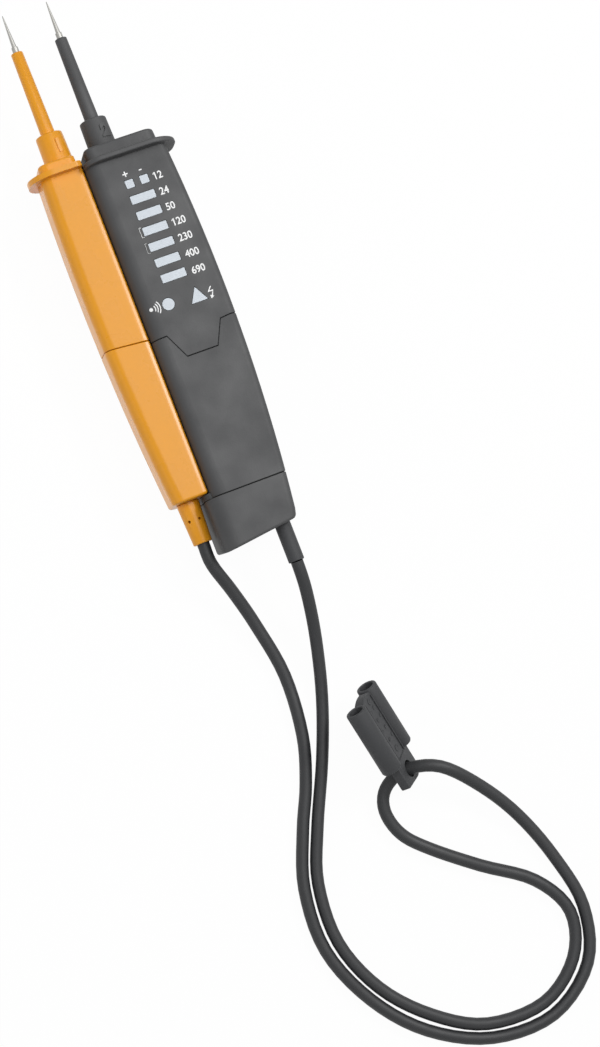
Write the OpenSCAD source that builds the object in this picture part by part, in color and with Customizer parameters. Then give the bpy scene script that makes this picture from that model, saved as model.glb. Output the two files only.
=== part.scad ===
// Two-pole voltage tester: a meter unit, a second probe docked beside it and the cable that joins them.
// It lies on its back: +Y runs to the tips, +X to the meter's free side, +Z out of its front face.
// The origin is on the surface under the middle of the tester without its cable.

/* [Tips] */
// Distance between the two tips, as wide as a socket's holes
tip_gap = 19; // [17:0.5:22]
// Bare length of each needle
needle_l = 16.5; // [12:0.5:19]
// Diameter of the needle's stem and foot
needle_d = 2.7; // [2:0.1:3]
// Length of the needle's foot that shows
needle_foot_l = 2.6; // [1:0.2:4]
// Diameter at the foot of the needle's point
point_d = 1.9; // [1:0.1:2]
// Length of the insulating sleeve that shows
sleeve_l = 36.2; // [28:0.2:42]
// Diameter of the sleeve at its free end
sleeve_tip_d = 5; // [4:0.1:5.4]
// Diameter of the sleeve where it leaves the collar
sleeve_root_d = 6; // [5.6:0.1:6.6]
// Length of the collar round the sleeve
collar_l = 12.6; // [9:0.2:15]
// Diameter of the collar
collar_d = 11.8; // [9:0.1:12]

/* [Guards] */
// Height of the shoulder block above the meter's guard
meter_block_h = 5.9; // [4:0.1:8]
// Height of the shoulder block above the probe's guard
probe_block_h = 4.2; // [3:0.1:6]
// Thickness of the finger guards
guard_t = 2.2; // [1.6:0.1:3]
// Width of the meter's guard from the dock side
meter_guard_w = 39.3; // [38.6:0.1:43]
// Width of the probe's guard from the dock side
probe_guard_w = 22.5; // [20.6:0.1:24]
// How far the guards stand proud of the front faces
guard_lip = 4; // [2:0.2:6]
// Corner radius of the guards
guard_r = 7; // [4:0.5:9]
// Corner radius of the guards at the front of the free sides
guard_free_r = 12; // [9:0.5:13]

/* [Meter] */
// Widest width of the meter's body
meter_w = 36.4; // [35.8:0.1:38]
// Depth of the meter's body, back to front
meter_d = 30; // [28:0.5:32]
// Distance from the dock side to the meter's tip axis
meter_axis_in = 12.2; // [11.8:0.1:13.6]
// Radius of the long curve of the meter's free side
meter_side_r = 770; // [700:10:1200]
// Length of the upper housing below the guard
upper_l = 74.7; // [70:0.1:80]
// Length of the lower housing
lower_l = 67.1; // [66:0.1:74]
// Radius of the front edge of the free side
meter_front_r = 3; // [2.4:0.1:4]
// Radius of the front edge of the dock side
meter_dock_r = 5.6; // [2.4:0.1:6]
// Radius of the back edges
meter_back_r = 4; // [2.4:0.1:5]
// Wall of all housings
wall = 2; // [1.8:0.1:2.2]

/* [Seam] */
// Depth of the step in the seam
step_h = 10.4; // [6:0.2:12]
// Distance from the dock side to the start of the step
step_start = 6.1; // [5:0.1:8]
// Width that each slanted side of the step takes
step_slant = 4.9; // [3:0.1:6]
// Width of the flat bottom of the step
step_w = 13.3; // [9:0.1:15]
// Open line between two housings
seam_gap = 0.25; // [0.15:0.05:0.4]

/* [Windows] */
// Distance from the danger window to the seam
window_end_in = 8.6; // [8:0.1:10]
// Width of a voltage window
bar_w = 10.4; // [8:0.2:11]
// Height of a voltage window and side of a sign window
bar_h = 3.5; // [2.5:0.1:4]
// Number of voltage windows
bar_count = 6; // [3:1:6]
// Distance from the guard to the sign windows
sign_y_in = 12; // [11:0.2:13]
// Distance from the guard to the first voltage window
bar_y_in = 18.7; // [17:0.1:19.5]
// Distance from the body's middle to the middle of the voltage windows
bar_x_in = 0.55; // [0:0.05:1]
// Distance between the two sign windows
sign_gap = 6.3; // [5:0.1:7]
// Diameter of the sound window
sound_d = 5; // [3:0.2:5.6]
// Side of the danger window
danger_side = 7; // [5:0.2:7.4]

/* [Battery cap and boot] */
// Length of the battery cap
cap_l = 22.6; // [21:0.2:25]
// Rise of the cap's lower edge across its width
cap_rise = 3.8; // [2:0.1:4.4]
// Length of the cable boot that shows below the cap
boot_l = 12.2; // [12:0.2:24]
// Diameter of the cable boot
boot_d = 6.6; // [6.4:0.1:7.2]
// Distance from the cap's free side to the boot's axis
boot_x_in = 4.85; // [4.7:0.05:5.8]
// Distance from the front face to the boot's axis
boot_z_in = 10; // [9:0.5:11]

/* [Second probe] */
// Widest width of the probe's body
probe_w = 19; // [18:0.1:20]
// Depth of the probe's body
probe_d = 22; // [21:0.5:24]
// Radius of the long curve of the probe's free side
probe_side_r = 1100; // [900:10:1500]
// Length of the probe's upper housing at its free side
probe_upper_l = 72.8; // [70:0.2:78]
// Drop of the probe's seam towards the meter
probe_seam_drop = 2.1; // [0:0.1:3]
// Length of the probe's lower housing
probe_lower_l = 67.8; // [60:0.2:74]
// Edge radius of the probe's body
probe_r = 5; // [3:0.2:6]
// Radius of the probe's front edge beside the meter
probe_dock_r = 2.8; // [2.4:0.2:5]
// Length of the probe's strain relief
relief_l = 17.5; // [14:0.5:24]
// Diameter of the strain relief at the housing
relief_top_d = 9.1; // [8.6:0.1:10]
// Diameter of the strain relief at the cable
relief_end_d = 7.5; // [7:0.1:8.4]
// Distance from the dock side to the relief's axis
relief_x_in = 8.1; // [7:0.1:8.2]

/* [Cable and tip cover] */
// Diameter of the cable
cable_d = 5.2; // [4.6:0.1:5.4]
// Length of a tube of the tip cover
cover_l = 30; // [24:1:36]
// Outer diameter of a tube of the tip cover
cover_od = 8.7; // [8.2:0.1:9.2]
// Bore of a tube of the tip cover
cover_id = 6; // [5.6:0.1:6.4]
// Thickness of the web between the tubes
web_t = 4; // [3:0.2:6]
// Length of the tongue beyond the tubes
tongue_l = 13; // [12:0.5:15]
// Bore of the eyelet that the cable runs through
eyelet_d = 7.8; // [7:0.1:8]

/* [Hidden] */
$fn = 48;

// Colours of the materials
black_abs = "#3b3c3e";
amber_abs = "#f0a23a";
window_white = "#bcc3ca";
steel = "#c9ccce";
brass = "#c8a85a";
board_green = "#2f6b45";
rubber_black = "#2a2a2b";
cable_black = "#333436";

// Clearance between pieces that sit in each other
fit_gap = 0.15;
// Gap between the meter and the docked probe
dock_gap = 0.3;
// How far every cut runs past the face that it opens
overrun = 1;
// How far an added feature is rooted in the wall that carries it
root_in = 0.4;
// Smallest corner radius that is left when a form is drawn in
least_r = 0.5;
// Steps round one corner of a housing
corner_steps = 5;
// Length of one step along a housing
station_l = 18;

// Places along the length, from the tips down
overall_l = needle_l + sleeve_l + collar_l + meter_block_h + guard_t + upper_l + lower_l + cap_l + boot_l;
point_y = overall_l / 2;
sleeve_top_y = point_y - needle_l;
collar_top_y = sleeve_top_y - sleeve_l;
block_top_y = collar_top_y - collar_l;
meter_guard_y = block_top_y - meter_block_h;
body_top_y = meter_guard_y - guard_t;
seam_y = body_top_y - upper_l;
step_y = seam_y - step_h;
cap_top_y = seam_y - lower_l;
cap_end_y = cap_top_y - cap_l;
boot_end_y = cap_end_y - boot_l;
probe_guard_y = block_top_y - probe_block_h;
probe_top_y = probe_guard_y - guard_t;
probe_seam_y = probe_top_y - probe_upper_l;
probe_end_y = probe_seam_y - probe_lower_l;
relief_end_y = probe_end_y - relief_l;

// Places across the width
dock_x = (probe_guard_w - meter_guard_w) / 2;
probe_dock_x = dock_x - dock_gap;
meter_x = dock_x + meter_axis_in;
probe_x = meter_x - tip_gap;
relief_x = dock_x - relief_x_in;
// Shares of the bodies' lengths at which they are widest
belly_shares = [0.346, 0.346];
meter_belly_y = body_top_y - belly_shares[0] * (body_top_y - cap_end_y);
probe_belly_y = probe_top_y - belly_shares[1] * (probe_top_y - probe_end_y);

// Places in the depth
meter_mid_z = meter_d / 2;
tip_z = meter_mid_z;
boot_z = meter_d - boot_z_in;
probe_back_z = meter_mid_z - probe_d / 2;
probe_front_z = meter_mid_z + probe_d / 2;

// Free side of the meter and of the probe at a given place along the length
function meter_side_x(y) = dock_x + meter_w - meter_side_r
    + sqrt(pow(meter_side_r, 2) - pow(y - meter_belly_y, 2));
function probe_side_x(y) = dock_x - probe_w + probe_side_r
    - sqrt(pow(probe_side_r, 2) - pow(y - probe_belly_y, 2));

boot_x = meter_side_x(cap_end_y) - boot_x_in;

// Rounded rectangle across the length, its corners in turn, as a ring of points at one y
function corner(cx, cz, r, turn) = [for (i = [0:corner_steps])
    [cx + r * cos(turn + i * 90 / corner_steps), cz + r * sin(turn + i * 90 / corner_steps)]];
function ring(y, x_low, x_high, z_low, z_high, r_back, r_high, r_low) = [for (p = concat(
    corner(x_high - r_high, z_high - r_high, r_high, 0),
    corner(x_low + r_low, z_high - r_low, r_low, 90),
    corner(x_low + r_back, z_low + r_back, r_back, 180),
    corner(x_high - r_back, z_low + r_back, r_back, 270))) [p[0], y, p[1]]];
function meter_ring(y, inset) = ring(y, dock_x + inset, meter_side_x(y) - inset, inset, meter_d - inset,
    max(meter_back_r - inset, least_r), max(meter_front_r - inset, least_r), max(meter_dock_r - inset, least_r));
function probe_ring(y, inset) = ring(y, probe_side_x(y) + inset, probe_dock_x - inset,
    probe_back_z + inset, probe_front_z - inset,
    max(probe_r - inset, least_r), max(probe_dock_r - inset, least_r), max(probe_r - inset, least_r));

// Solid through rings that follow each other down the length
module loft(rings) {
    n = len(rings[0]);
    m = len(rings);
    polyhedron(points = [for (r = rings) each r], faces = concat(
        [[for (i = [0:n - 1]) i]],
        [[for (i = [0:n - 1]) m * n - 1 - i]],
        [for (j = [0:m - 2]) for (i = [0:n - 1]) [j * n + i, (j + 1) * n + i, (j + 1) * n + (i + 1) % n]],
        [for (j = [0:m - 2]) for (i = [0:n - 1]) [j * n + i, (j + 1) * n + (i + 1) % n, j * n + (i + 1) % n]]));
}
function stations(y_high, y_low) = let (n = max(1, ceil((y_high - y_low) / station_l)))
    [for (k = [0:n]) y_high - (y_high - y_low) * k / n];
module meter_form(y_high, y_low, inset) {
    loft([for (y = stations(y_high, y_low)) meter_ring(y, inset)]);
}
module probe_form(y_high, y_low, inset) {
    loft([for (y = stations(y_high, y_low)) probe_ring(y, inset)]);
}
// Ring of wall between two insets of a form
module meter_band(y_high, y_low, outer, inner) {
    difference() {
        meter_form(y_high, y_low, outer);
        meter_form(y_high + overrun, y_low - overrun, inner);
    }
}
module probe_band(y_high, y_low, outer, inner) {
    difference() {
        probe_form(y_high, y_low, outer);
        probe_form(y_high + overrun, y_low - overrun, inner);
    }
}
// Rounded slab across the length whose edge is drawn in at given places
module slab(x_low, x_high, z_low, z_high, r_back, r_high, r_low, profile) {
    loft([for (p = profile) ring(p[0], x_low + p[1], x_high - p[1], z_low + p[1], z_high - p[1],
        max(r_back - p[1], least_r), max(r_high - p[1], least_r), max(r_low - p[1], least_r))]);
}
// Round bar along the length, from its high end to its low end
module bar(x, z, y_high, y_low, r_high, r_low) {
    translate([x, y_high, z]) rotate([90, 0, 0]) cylinder(h = y_high - y_low, r1 = r_high, r2 = r_low);
}
// Upright box from its low corner to its high corner
module block(low, high) {
    translate(low) cube(high - low);
}

// Guards and shoulder blocks
// Rounding of the guard's rim
rim_r = guard_t / 2;
// Draw-in of the guard's rim at its faces
rim_in = 0.8;
// Rounding of the shoulder blocks' upper edge
block_edge = 1;
// Setback of the meter's shoulder block from the dock side and the free side
meter_block_in = 3.4;
meter_block_side = 6.7;
// Setback of the probe's shoulder block from the guard's free side
probe_block_side = 5.6;
// Setback of the shoulder blocks from the back and the front
block_back = 3;
block_front = 2.5;
// Corner radius of the shoulder blocks
block_r = 4;
module guard_plate(x_low, x_high, z_high, y_top, r_high, r_low) {
    slab(x_low, x_high, 0, z_high, guard_r, r_high, r_low, [[y_top, rim_in], [y_top - rim_r / 2, rim_in / 4],
        [y_top - rim_r, 0], [y_top - guard_t + rim_r / 2, rim_in / 4], [y_top - guard_t, rim_in]]);
}
// Slant of the meter's shoulder block at its free end
block_slant = 0.4;
function block_ring(y, x_low, x_high, z_low, z_high, edge) = ring(y, x_low + edge, x_high - edge,
    z_low + edge, z_high - edge, block_r - edge, block_r - edge, block_r - edge);
module shoulder_block(x_low, x_high, z_low, z_high, y_top, y_low, slant) {
    loft([block_ring(y_top, x_low, x_high - slant, z_low, z_high, block_edge),
        block_ring(y_top - block_edge / 2, x_low, x_high - slant, z_low, z_high, block_edge / 4),
        block_ring(y_top - block_edge, x_low, x_high - 0.8 * slant, z_low, z_high, 0),
        block_ring(y_low, x_low, x_high, z_low, z_high, 0)]);
}
// Hook of the meter that catches the docked probe's shoulder
hook_l = 4;
hook_h = 5;
hook_out = 2.6;
hook_drop = 2.5;
module dock_hook() {
    hook_y = block_top_y - hook_drop;
    translate([0, 0, tip_z + hook_l]) linear_extrude(hook_l) polygon([
        [dock_x + meter_block_in + root_in, hook_y], [dock_x - hook_out / 2, hook_y - hook_h / 2],
        [dock_x - hook_out / 2, hook_y - hook_h / 2 - root_in], [dock_x + meter_block_in + root_in, meter_guard_y - root_in]]);
}

// Line of the seam across the meter, with its step, as the lower edge of what lies above it
function seam_points(drop) = [
    [dock_x - overrun, seam_y - drop], [dock_x + step_start, seam_y - drop],
    [dock_x + step_start + step_slant, step_y - drop],
    [dock_x + step_start + step_slant + step_w, step_y - drop],
    [dock_x + step_start + 2 * step_slant + step_w, seam_y - drop],
    [dock_x + meter_w + overrun, seam_y - drop]];
module above_seam(drop, y_far) {
    translate([0, 0, -overrun]) linear_extrude(meter_d + 2 * overrun)
        polygon(concat(seam_points(drop), [[dock_x + meter_w + overrun, y_far], [dock_x - overrun, y_far]]));
}

// Windows of the meter's front, as places of their middles
bar_x = dock_x + meter_w / 2 - bar_x_in;
sign_y = body_top_y - sign_y_in;
bar_top_y = body_top_y - bar_y_in;
// Places of the sound and danger windows from the last voltage window
sound_x_in = 6.2;
sound_drop = 10.2;
danger_x_in = 6.2;
danger_drop = 13.4;
last_bar_y = seam_y + window_end_in + danger_drop;
bar_pitch = (bar_top_y - last_bar_y) / max(bar_count - 1, 1);
danger_h = danger_side * 0.9;
module bar_shapes(grow) {
    for (i = [0:bar_count - 1])
        translate([bar_x, bar_top_y - i * bar_pitch]) square([bar_w + 2 * grow, bar_h + 2 * grow], center = true);
}
module sign_shapes(grow) {
    for (side = [-1, 1])
        translate([bar_x + side * sign_gap / 2, sign_y]) square(bar_h + 2 * grow, center = true);
}
module sound_shape(grow) {
    translate([bar_x - sound_x_in, last_bar_y - sound_drop]) circle(r = sound_d / 2 + grow);
}
module danger_shape(grow) {
    spread = 1 + 3 * grow / danger_h;
    translate([bar_x + danger_x_in, last_bar_y - danger_drop]) translate([0, danger_h / 3])
        scale([spread, spread]) translate([0, -danger_h / 3])
            polygon([[-danger_side / 2, 0], [danger_side / 2, 0], [0, danger_h]]);
}
module window_shapes(grow) {
    bar_shapes(grow);
    sign_shapes(grow);
    sound_shape(grow);
    danger_shape(grow);
}
// Depth of the window inserts and how far they lie below the front face
window_t = 4.5;
window_sink = 0.1;
module window_insert() {
    translate([0, 0, meter_d - window_t]) linear_extrude(window_t - window_sink) children();
}

// Board of the meter
board_t = 1.6;
board_in = 11.4;
board_side_in = 3.55;
board_free_in = 7.05;
stem_in = 8;
clip_t = 0.5;
stem_end_y = body_top_y - wall - stem_in;
board_z = meter_d - board_in;
board_top_y = stem_end_y - clip_t;
board_low_x = dock_x + board_side_in;
board_high_x = dock_x + meter_w - board_free_in;
// Rails of the upper housing that the board slides in
rail_t = 1.2;
rail_in = 0.8;

// Spigot of a lower housing inside the upper one
spigot_t = 1.2;
spigot_over = 0.1;
spigot_root = 4;
spigot_inset = wall + fit_gap;

// Battery cells and the contacts at their inner ends
cell_d = 10.5;
cell_l = 44.5;
cell_gap = 0.2;
cell_floor = 1;
cell_low_y_in = 13.5;
tray_inset = spigot_inset + spigot_t + fit_gap;
cell_low_y = cap_top_y + cell_low_y_in;
cell_high_y = cell_low_y + cell_l;
cell_z = tray_inset + cell_floor + cell_d / 2;
cell_x_low = dock_x + tray_inset + fit_gap + cell_d / 2;
cell_places = [cell_x_low, cell_x_low + cell_d + cell_gap];
tray_end_t = 1.5;
tray_rim = 0.8;
tray_lip = 1.5;
contact_t = 0.4;
contact_w = 6;
contact_y = cell_high_y + fit_gap / 2;
tray_high_y = contact_y + contact_t + fit_gap / 2 + tray_end_t;
board_end_y = contact_y;

// Screws through the backs
screw_d = 2.6;
screw_head_d = 4.6;
screw_head_h = 1.2;
screw_l = 7;
screw_y_in = 2.2;
screw_boss_d = 5.4;
screw_boss_l = 4.4;
// Shares of the body's width at which the screws of the meter sit
screw_shares = [0.25, 0.75];
housing_screw_y = max(seam_y + screw_y_in, tray_high_y + screw_boss_d / 2 + 2 * fit_gap);
housing_screw_places = [for (share = screw_shares) [dock_x + share * meter_w, housing_screw_y]];
spigot_l = housing_screw_y - seam_y + screw_boss_d / 2 + spigot_over;
probe_spigot_l = screw_y_in + screw_boss_d / 2 + spigot_over;
module back_screw(x, y, z, r_grow) {
    translate([x, y, z]) cylinder(h = screw_head_h + r_grow, r1 = screw_head_d / 2 + r_grow, r2 = screw_d / 2 + r_grow);
    translate([x, y, z]) cylinder(h = screw_l, r = screw_d / 2 + r_grow);
}

// Dock bosses on the meter's side, and the slots and leaf springs of the probe that take them
dock_boss_l = 14;
dock_boss_h = 5;
dock_boss_out = 2.6;
dock_slot_gap = 0.4;
dock_high_in = 24;
dock_low_in = 20.6;
dock_places = [body_top_y - dock_high_in, probe_end_y + dock_low_in];
module dock_boss(y, grow) {
    block([dock_x - dock_boss_out - grow, y - dock_boss_l / 2 - grow, meter_mid_z - dock_boss_h / 2 - grow],
        [dock_x + root_in, y + dock_boss_l / 2 + grow, meter_mid_z + dock_boss_h / 2 + grow]);
}

// Upper housing with its guard, shoulder block, hook and board rails
module upper_housing() {
    color(black_abs) difference() {
        union() {
            intersection() {
                difference() {
                    meter_form(body_top_y, step_y, 0);
                    meter_form(body_top_y - wall, step_y - overrun, wall);
                }
                above_seam(0, body_top_y + overrun);
            }
            guard_plate(dock_x, dock_x + meter_guard_w, meter_d + guard_lip, meter_guard_y, guard_free_r, guard_r);
            shoulder_block(dock_x + meter_block_in, dock_x + meter_guard_w - meter_block_side,
                block_back, meter_d - block_front, block_top_y, meter_guard_y - root_in, block_slant);
            dock_hook();
            intersection() {
                meter_form(board_top_y + rail_t, rail_back_y, wall - root_in);
                difference() {
                    block([dock_x, rail_back_y, board_z - rail_t - fit_gap],
                        [dock_x + meter_w, board_top_y + rail_t, board_z + board_t + rail_t + fit_gap]);
                    block([board_low_x + rail_in, rail_back_y - overrun, 0],
                        [board_high_x - rail_in, board_top_y + rail_t + overrun, meter_d]);
                    block([board_low_x - fit_gap, rail_back_y - overrun, board_z - fit_gap],
                        [board_high_x + fit_gap, board_top_y + rail_t + overrun, board_z + board_t + fit_gap]);
                }
            }
            dock_boss(dock_places[0], 0);
        }
        bar(meter_x, tip_z, block_top_y + overrun, body_top_y - wall - overrun,
            needle_d / 2 + fit_gap, needle_d / 2 + fit_gap);
        translate([0, 0, meter_d - wall - overrun]) linear_extrude(wall + 2 * overrun) window_shapes(fit_gap);
        for (p = housing_screw_places) back_screw(p[0], p[1], 0, fit_gap);
    }
}

// Lower housing with its spigot, screw bosses and the boss of the cap screw
insert_d = 4.6;
insert_l = 6;
cap_screw_d = 3;
cap_screw_x_in = 9.4;
cap_screw_z_in = 8.5;
cap_screw_z = meter_d - cap_screw_z_in;
cap_boss_d = 8;
cap_boss_l = 8;
cap_screw_x = dock_x + cap_screw_x_in;
module lower_housing() {
    color(black_abs) difference() {
        union() {
            difference() {
                meter_band(seam_y, cap_top_y + seam_gap, 0, wall);
                above_seam(seam_gap, seam_y + overrun);
            }
            meter_band(seam_y + spigot_l, step_y - spigot_root, spigot_inset, spigot_inset + spigot_t);
            meter_band(step_y - seam_gap - fit_gap, step_y - spigot_root, wall - root_in, spigot_inset + spigot_t);
            for (p = housing_screw_places) translate([p[0], p[1], spigot_inset])
                cylinder(h = screw_boss_l, r = screw_boss_d / 2);
            bar(cap_screw_x, cap_screw_z, cap_top_y + seam_gap + cap_boss_l, cap_top_y + seam_gap,
                cap_boss_d / 2, cap_boss_d / 2);
            block([cap_screw_x - cap_boss_d / 4, cap_top_y + seam_gap, cap_screw_z],
                [cap_screw_x + cap_boss_d / 4, cap_top_y + seam_gap + cap_boss_l, meter_d - wall + root_in]);
            dock_boss(dock_places[1], 0);
        }
        for (p = housing_screw_places) back_screw(p[0], p[1], 0, fit_gap);
        bar(cap_screw_x, cap_screw_z, cap_top_y + seam_gap + insert_l + fit_gap, cap_top_y - overrun,
            insert_d / 2 + fit_gap, insert_d / 2 + fit_gap);
        bar(cap_screw_x, cap_screw_z, cap_top_y + seam_gap + cap_boss_l + overrun, cap_top_y,
            cap_screw_d / 2 + fit_gap, cap_screw_d / 2 + fit_gap);
        clamp_seat_cut();
    }
}
module seam_seal() {
    color(rubber_black) difference() {
        meter_form(seam_y + spigot_l + seal_t + fit_gap, seam_y + spigot_l + fit_gap, spigot_inset);
        meter_form(seam_y + spigot_l + seal_t + overrun, seam_y, spigot_inset + spigot_t);
    }
}
seal_t = 1.4;
// Lower end of the board rails, above the seal
rail_back_y = seam_y + spigot_l + seal_t + 2 * fit_gap;
module housing_screws() {
    color(steel) for (p = housing_screw_places) back_screw(p[0], p[1], 0, 0);
}

// Tips: needle with its stem, insulating sleeve and collar
point_end_r = 0.15;
sleeve_stem_l = 6;
collar_flare = 0.3;
sleeve_edge = 0.4;
module needle(x) {
    color(steel) {
        bar(x, tip_z, point_y, sleeve_top_y + needle_foot_l, point_end_r, point_d / 2);
        bar(x, tip_z, sleeve_top_y + needle_foot_l, stem_end_y, needle_d / 2, needle_d / 2);
    }
}
module sleeve(x, tone) {
    color(tone) difference() {
        union() {
            bar(x, tip_z, sleeve_top_y, sleeve_top_y - sleeve_edge, sleeve_tip_d / 2 - sleeve_edge, sleeve_tip_d / 2);
            bar(x, tip_z, sleeve_top_y - sleeve_edge, collar_top_y, sleeve_tip_d / 2, sleeve_root_d / 2);
            bar(x, tip_z, collar_top_y, collar_top_y - sleeve_stem_l, sleeve_root_d / 2, sleeve_root_d / 2);
        }
        bar(x, tip_z, sleeve_top_y + overrun, collar_top_y - sleeve_stem_l - overrun,
            needle_d / 2 + fit_gap, needle_d / 2 + fit_gap);
    }
}
module collar(x, tone) {
    color(tone) difference() {
        bar(x, tip_z, collar_top_y, block_top_y, collar_d / 2 - collar_flare, collar_d / 2);
        bar(x, tip_z, collar_top_y + overrun, collar_top_y - sleeve_stem_l - fit_gap,
            sleeve_root_d / 2 + fit_gap, sleeve_root_d / 2 + fit_gap);
        bar(x, tip_z, collar_top_y, block_top_y - overrun, needle_d / 2 + fit_gap, needle_d / 2 + fit_gap);
    }
}
module meter_needle() { needle(meter_x); }
module meter_sleeve() { sleeve(meter_x, black_abs); }
module meter_collar() { collar(meter_x, black_abs); }

// Windows and what lies behind them
module voltage_windows() { color(window_white) window_insert() bar_shapes(0); }
module sign_windows() { color(window_white) window_insert() sign_shapes(0); }
module sound_window() { color(window_white) window_insert() sound_shape(0); }
module danger_window() { color(window_white) window_insert() danger_shape(0); }
frame_margin = 1.6;
frame_high_z = meter_d - wall - fit_gap;
frame_low_z = board_z + board_t + fit_gap;
frame_low_x = bar_x - sound_x_in - sound_d / 2 - frame_margin;
frame_high_x = min(bar_x + danger_x_in + danger_side / 2 + frame_margin, board_high_x - rail_in - fit_gap);
frame_high_y = sign_y + bar_h / 2 + frame_margin;
frame_low_y = last_bar_y - danger_drop - frame_margin;
module light_frame() {
    color("white") difference() {
        block([frame_low_x, frame_low_y, frame_low_z], [frame_high_x, frame_high_y, frame_high_z]);
        translate([0, 0, frame_low_z - overrun]) linear_extrude(frame_high_z - frame_low_z + 2 * overrun)
            window_shapes(2 * fit_gap);
    }
}
lamp_l = 2.4;
lamp_w = 1.6;
lamp_h = 1.1;
module lamp(x, y) {
    block([x - lamp_l / 2, y - lamp_w / 2, board_z + board_t], [x + lamp_l / 2, y + lamp_w / 2, board_z + board_t + lamp_h]);
}
module lamps() {
    color("lightyellow") {
        for (i = [0:bar_count - 1]) lamp(bar_x, bar_top_y - i * bar_pitch);
        for (side = [-1, 1]) lamp(bar_x + side * sign_gap / 2, sign_y);
        lamp(bar_x - sound_x_in, last_bar_y - sound_drop);
        lamp(bar_x + danger_x_in, last_bar_y - danger_drop + danger_h / 3);
    }
}
module circuit_board() {
    color(board_green) block([board_low_x, board_end_y, board_z], [board_high_x, board_top_y, board_z + board_t]);
}
// Parts on the board's back
chip_w = 9;
chip_t = 1.4;
chip_x_in = 5;
chip_y_in = 36;
chip_gap = 11;
module processor_chips() {
    color("dimgray") for (i = [0:1])
        translate([board_low_x + chip_x_in, board_top_y - chip_y_in - i * chip_gap, board_z - chip_t])
            cube([chip_w, chip_w, chip_t]);
}
resistor_d = 3.4;
resistor_l = 12;
resistor_gap = 4.6;
resistor_x_in = 5;
resistor_y_in = 14;
module input_resistors() {
    color("tan") for (i = [0:2]) translate([board_low_x + resistor_x_in,
        board_top_y - resistor_y_in - i * resistor_gap, board_z - resistor_d / 2])
            rotate([0, 90, 0]) cylinder(h = resistor_l, r = resistor_d / 2);
}
buzzer_d = 12;
buzzer_h = 5.5;
buzzer_x_in = 6.8;
buzzer_y_in = 12.4;
module buzzer() {
    color("dimgray") translate([board_high_x - buzzer_x_in, board_end_y + buzzer_y_in, board_z - buzzer_h])
        cylinder(h = buzzer_h, r = buzzer_d / 2);
}
// Clip from the end of a needle's stem to a board
clip_l = 5;
clip_foot_l = 2;
module stem_clip(x) {
    color(brass) {
        difference() {
            bar(x, tip_z, stem_end_y + clip_l, stem_end_y - clip_t, needle_d / 2 + fit_gap / 2 + clip_t, needle_d / 2 + fit_gap / 2 + clip_t);
            bar(x, tip_z, stem_end_y + clip_l + overrun, stem_end_y, needle_d / 2 + fit_gap / 2, needle_d / 2 + fit_gap / 2);
        }
        block([x - needle_d / 4, stem_end_y - clip_t - clip_foot_l, tip_z], [x + needle_d / 4, stem_end_y - clip_t / 2, board_z]);
    }
}
module tip_clip() { stem_clip(meter_x); }

// Battery compartment
module battery_tray() {
    color("dimgray") intersection() {
        meter_form(tray_high_y, cell_low_y, tray_inset);
        difference() {
            block([dock_x + wall + fit_gap, cell_low_y, wall + fit_gap],
                [cell_places[1] + cell_d / 2 + tray_rim, tray_high_y, cell_z + tray_lip]);
            for (x = cell_places)
                bar(x, cell_z, tray_high_y - tray_end_t, cell_low_y - overrun, cell_d / 2 + fit_gap, cell_d / 2 + fit_gap);
            block([dock_x, cell_low_y - overrun, cell_z], [dock_x + meter_w, tray_high_y - tray_end_t, meter_d]);
        }
    }
}
nub_d = 3.8;
nub_h = 0.8;
module battery_cells() {
    for (i = [0:1]) {
        color("silver") bar(cell_places[i], cell_z, cell_high_y - (1 - i) * nub_h, cell_low_y + i * nub_h, cell_d / 2, cell_d / 2);
        color("silver") bar(cell_places[i], cell_z, i == 0 ? cell_high_y : cell_low_y + nub_h,
            i == 0 ? cell_high_y - nub_h : cell_low_y, nub_d / 2, nub_d / 2);
    }
}
module battery_contacts() {
    color(brass) for (x = cell_places)
        block([x - contact_w / 2, contact_y, cell_z - contact_w / 2], [x + contact_w / 2, contact_y + contact_t, board_z]);
}
spring_l = 3.4;
spring_d = 6;
spring_top_d = 4.4;
spring_wire = 0.8;
bridge_t = 0.5;
bridge_y = cell_low_y - fit_gap / 2 - spring_l;
module battery_springs() {
    color(steel) for (x = cell_places) difference() {
        bar(x, cell_z, cell_low_y - fit_gap / 2, bridge_y, spring_top_d / 2, spring_d / 2);
        bar(x, cell_z, cell_low_y + overrun, bridge_y - overrun, spring_top_d / 2 - spring_wire, spring_d / 2 - spring_wire);
    }
}
bridge_w = 7;
module battery_bridge() {
    color(steel) block([cell_places[0] - bridge_w / 2, bridge_y - bridge_t, cell_z - bridge_w / 2],
        [cell_places[1] + bridge_w / 2, bridge_y, cell_z + bridge_w / 2]);
}

// Battery cap, a cup with a lip inside the lower housing, a screw pillar and a post for the bridge
cap_floor = 3.6;
cap_lip_l = 3;
cap_lip_t = 1.2;
cap_clear = 0.3;
// Room that the lip leaves to the housing, whose side draws in towards its end
cap_lip_clear = 0.35;
cap_pillar_d = 7;
cap_screw_head_d = 5.6;
cap_screw_head_h = 2.4;
cap_head_sink = 1;
post_t = 3;
cap_edge = 0.8;
// How far the cap reaches under the probe's end, and the radius of its front edge there
cap_out = 2.6;
cap_dock_r = 6.7;
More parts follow.
